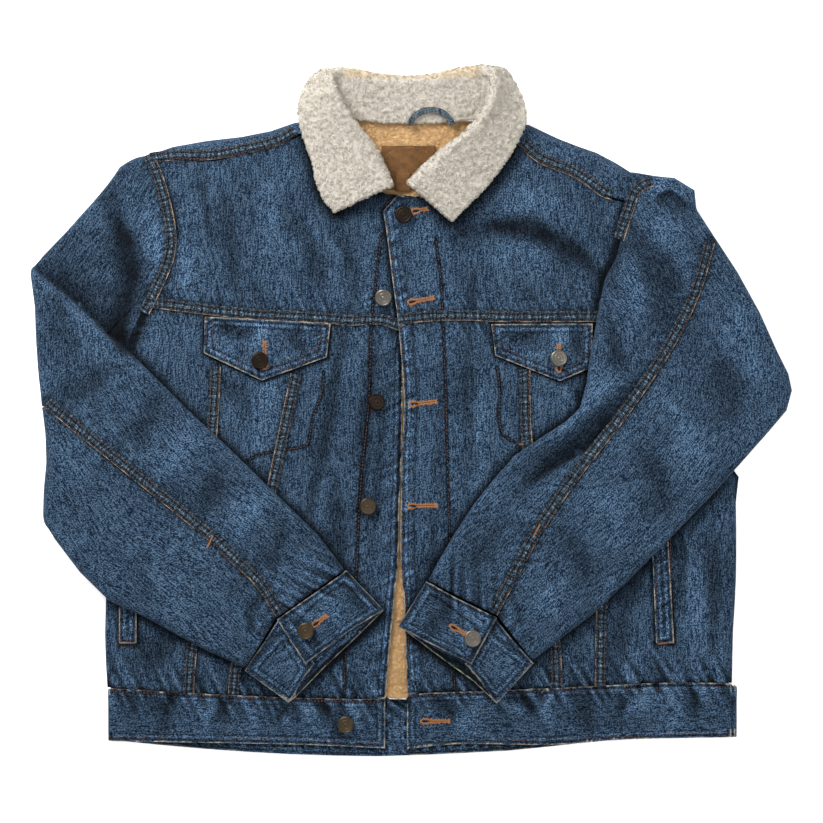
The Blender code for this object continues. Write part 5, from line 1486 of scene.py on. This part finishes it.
lining = dress("back_lining", "lining_pile", lining_height, fine=1.8, ease=2, material=tan_pile,
               windows=LINING_SHOWN, swells=LINING_SWELLS)


def lining_shown(places, normal):
    """Where the lining faces up into view, clear of the patch."""
    low, high = [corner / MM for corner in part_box("label")]
    patched = [(low.x - 1, low.y - 1, high.x + 1, high.y + 1)]
    shown = np.array([inside(x, y, LINING_SHOWN) and not inside(x, y, patched) for x, y, _ in places])
    return shown & (normal[:, 2] > 0.3)


fleece("lining_curls", lining, 16000, 2.2, lining_shown, tan_pile,
       no_warmth, 6)

# --------------------------------------------------------------------------------------------------
# The patch, the size tab and the loop the jacket hangs by.

LEATHER = [(0.35, (0.095, 0.044, 0.014)), (0.65, (0.21, 0.098, 0.033))]
leather = bpy.data.materials.new("leather_brown")
principled = shader(leather, Roughness=0.6, Specular_IOR_Level=0.2)
grain = read_attribute(leather, "grain", "Vector")
mottle = streaks(grain, (9.0, 7.0), 0.0, 4.0)
pores = streaks(grain, (0.8, 0.8), 0.0, 1.0)
plug(leather, principled.inputs["Base Color"], ramp(mottle * 0.7 + pores * 0.3, LEATHER))
press(principled, pores, 0.5, 0.0003)
patch = dress("label", "patch", fine=2.0, ease=0, material=leather)
tab = dress("size_tab", "size_tab_cloth", fine=2.0, ease=0, material=leather)
low, high = [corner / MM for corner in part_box("label")]
border = [(low.x, low.y), (high.x, low.y), (high.x, high.y), (low.x, high.y), (low.x, low.y)]
bars("patch_thread", stitched([(border, 2.0)], [patch]), 0.5, thread_orange)
loop_denim = make_denim("denim_loop", (1.9, 1.6, 1.2))
loop = dress("hanger_loop", "hanger_loop_cloth", fine=1.6, ease=2, material=loop_denim)
LOOP_LINE = [(-2, 287), (3, 295.5), (12, 300.5), (21, 301.5), (30, 299.5), (37, 294), (41, 287)]
bars("hanger_loop_thread", stitched([(LOOP_LINE, 1.9), (LOOP_LINE, -1.9)], [loop]), 0.5, thread_orange)

# --------------------------------------------------------------------------------------------------
# The cut of the cloth: what shows of each piece laid flat, all round on the sleeves, and what it lies on.

CUTS = [
    # piece, width and length of the cut in millimetres, its area in square centimetres, what it lies on
    ("back", 630, 380, 2229, ()),
    ("back_yoke_cloth", 491, 195, 938, ()),
    ("lining_pile", 614, 564, 2949, ("back",)),
    ("right_yoke", 277, 193, 417, ("lining_pile",)),
    ("right_side", 107, 383, 380, ("lining_pile",)),
    ("right_middle", 84, 378, 248, ("lining_pile",)),
    ("right_centre", 145, 383, 475, ("lining_pile",)),
    ("left_yoke", 248, 189, 351, ("lining_pile",)),
    ("left_side", 144, 365, 413, ("lining_pile",)),
    ("left_middle", 83, 367, 260, ("lining_pile",)),
    ("left_centre", 142, 374, 482, ("lining_pile",)),
    ("waistband_cloth", 1300, 56, 723, ("lining_pile",)),
    ("right_sleeve_outer", 230, 560, 1061, ("right_side",)),
    ("right_sleeve_inner", 170, 500, 745, ("right_side",)),
    ("left_sleeve_outer", 170, 500, 702, ("left_side",)),
    ("left_sleeve_inner", 200, 550, 907, ("left_side",)),
    ("right_cuff_cloth", 302, 54, 161, ("right_centre",)),
    ("left_cuff_cloth", 272, 54, 145, ("left_centre",)),
    ("right_flap_cloth", 126, 62, 63, ("right_middle",)),
    ("left_flap_cloth", 102, 58, 48, ("left_middle",)),
    ("right_welt_cloth", 20, 142, 27, ("right_side",)),
    ("left_welt_cloth", 20, 143, 26, ("left_side",)),
    ("patch", 54, 45, 24, ("lining_pile",)),
    ("size_tab_cloth", 18, 18, 3, ("lining_pile",)),
    ("hanger_loop_cloth", 10, 65, 4.6, ("collar_fleece",)),
    ("collar_fleece", 480, 90, 385, ("lining_pile",)),
]
for name, width, length, area, ground in CUTS:
    piece = bpy.data.objects[name]
    held = "folded" if name == "collar_fleece" else "laid"
    length * MM
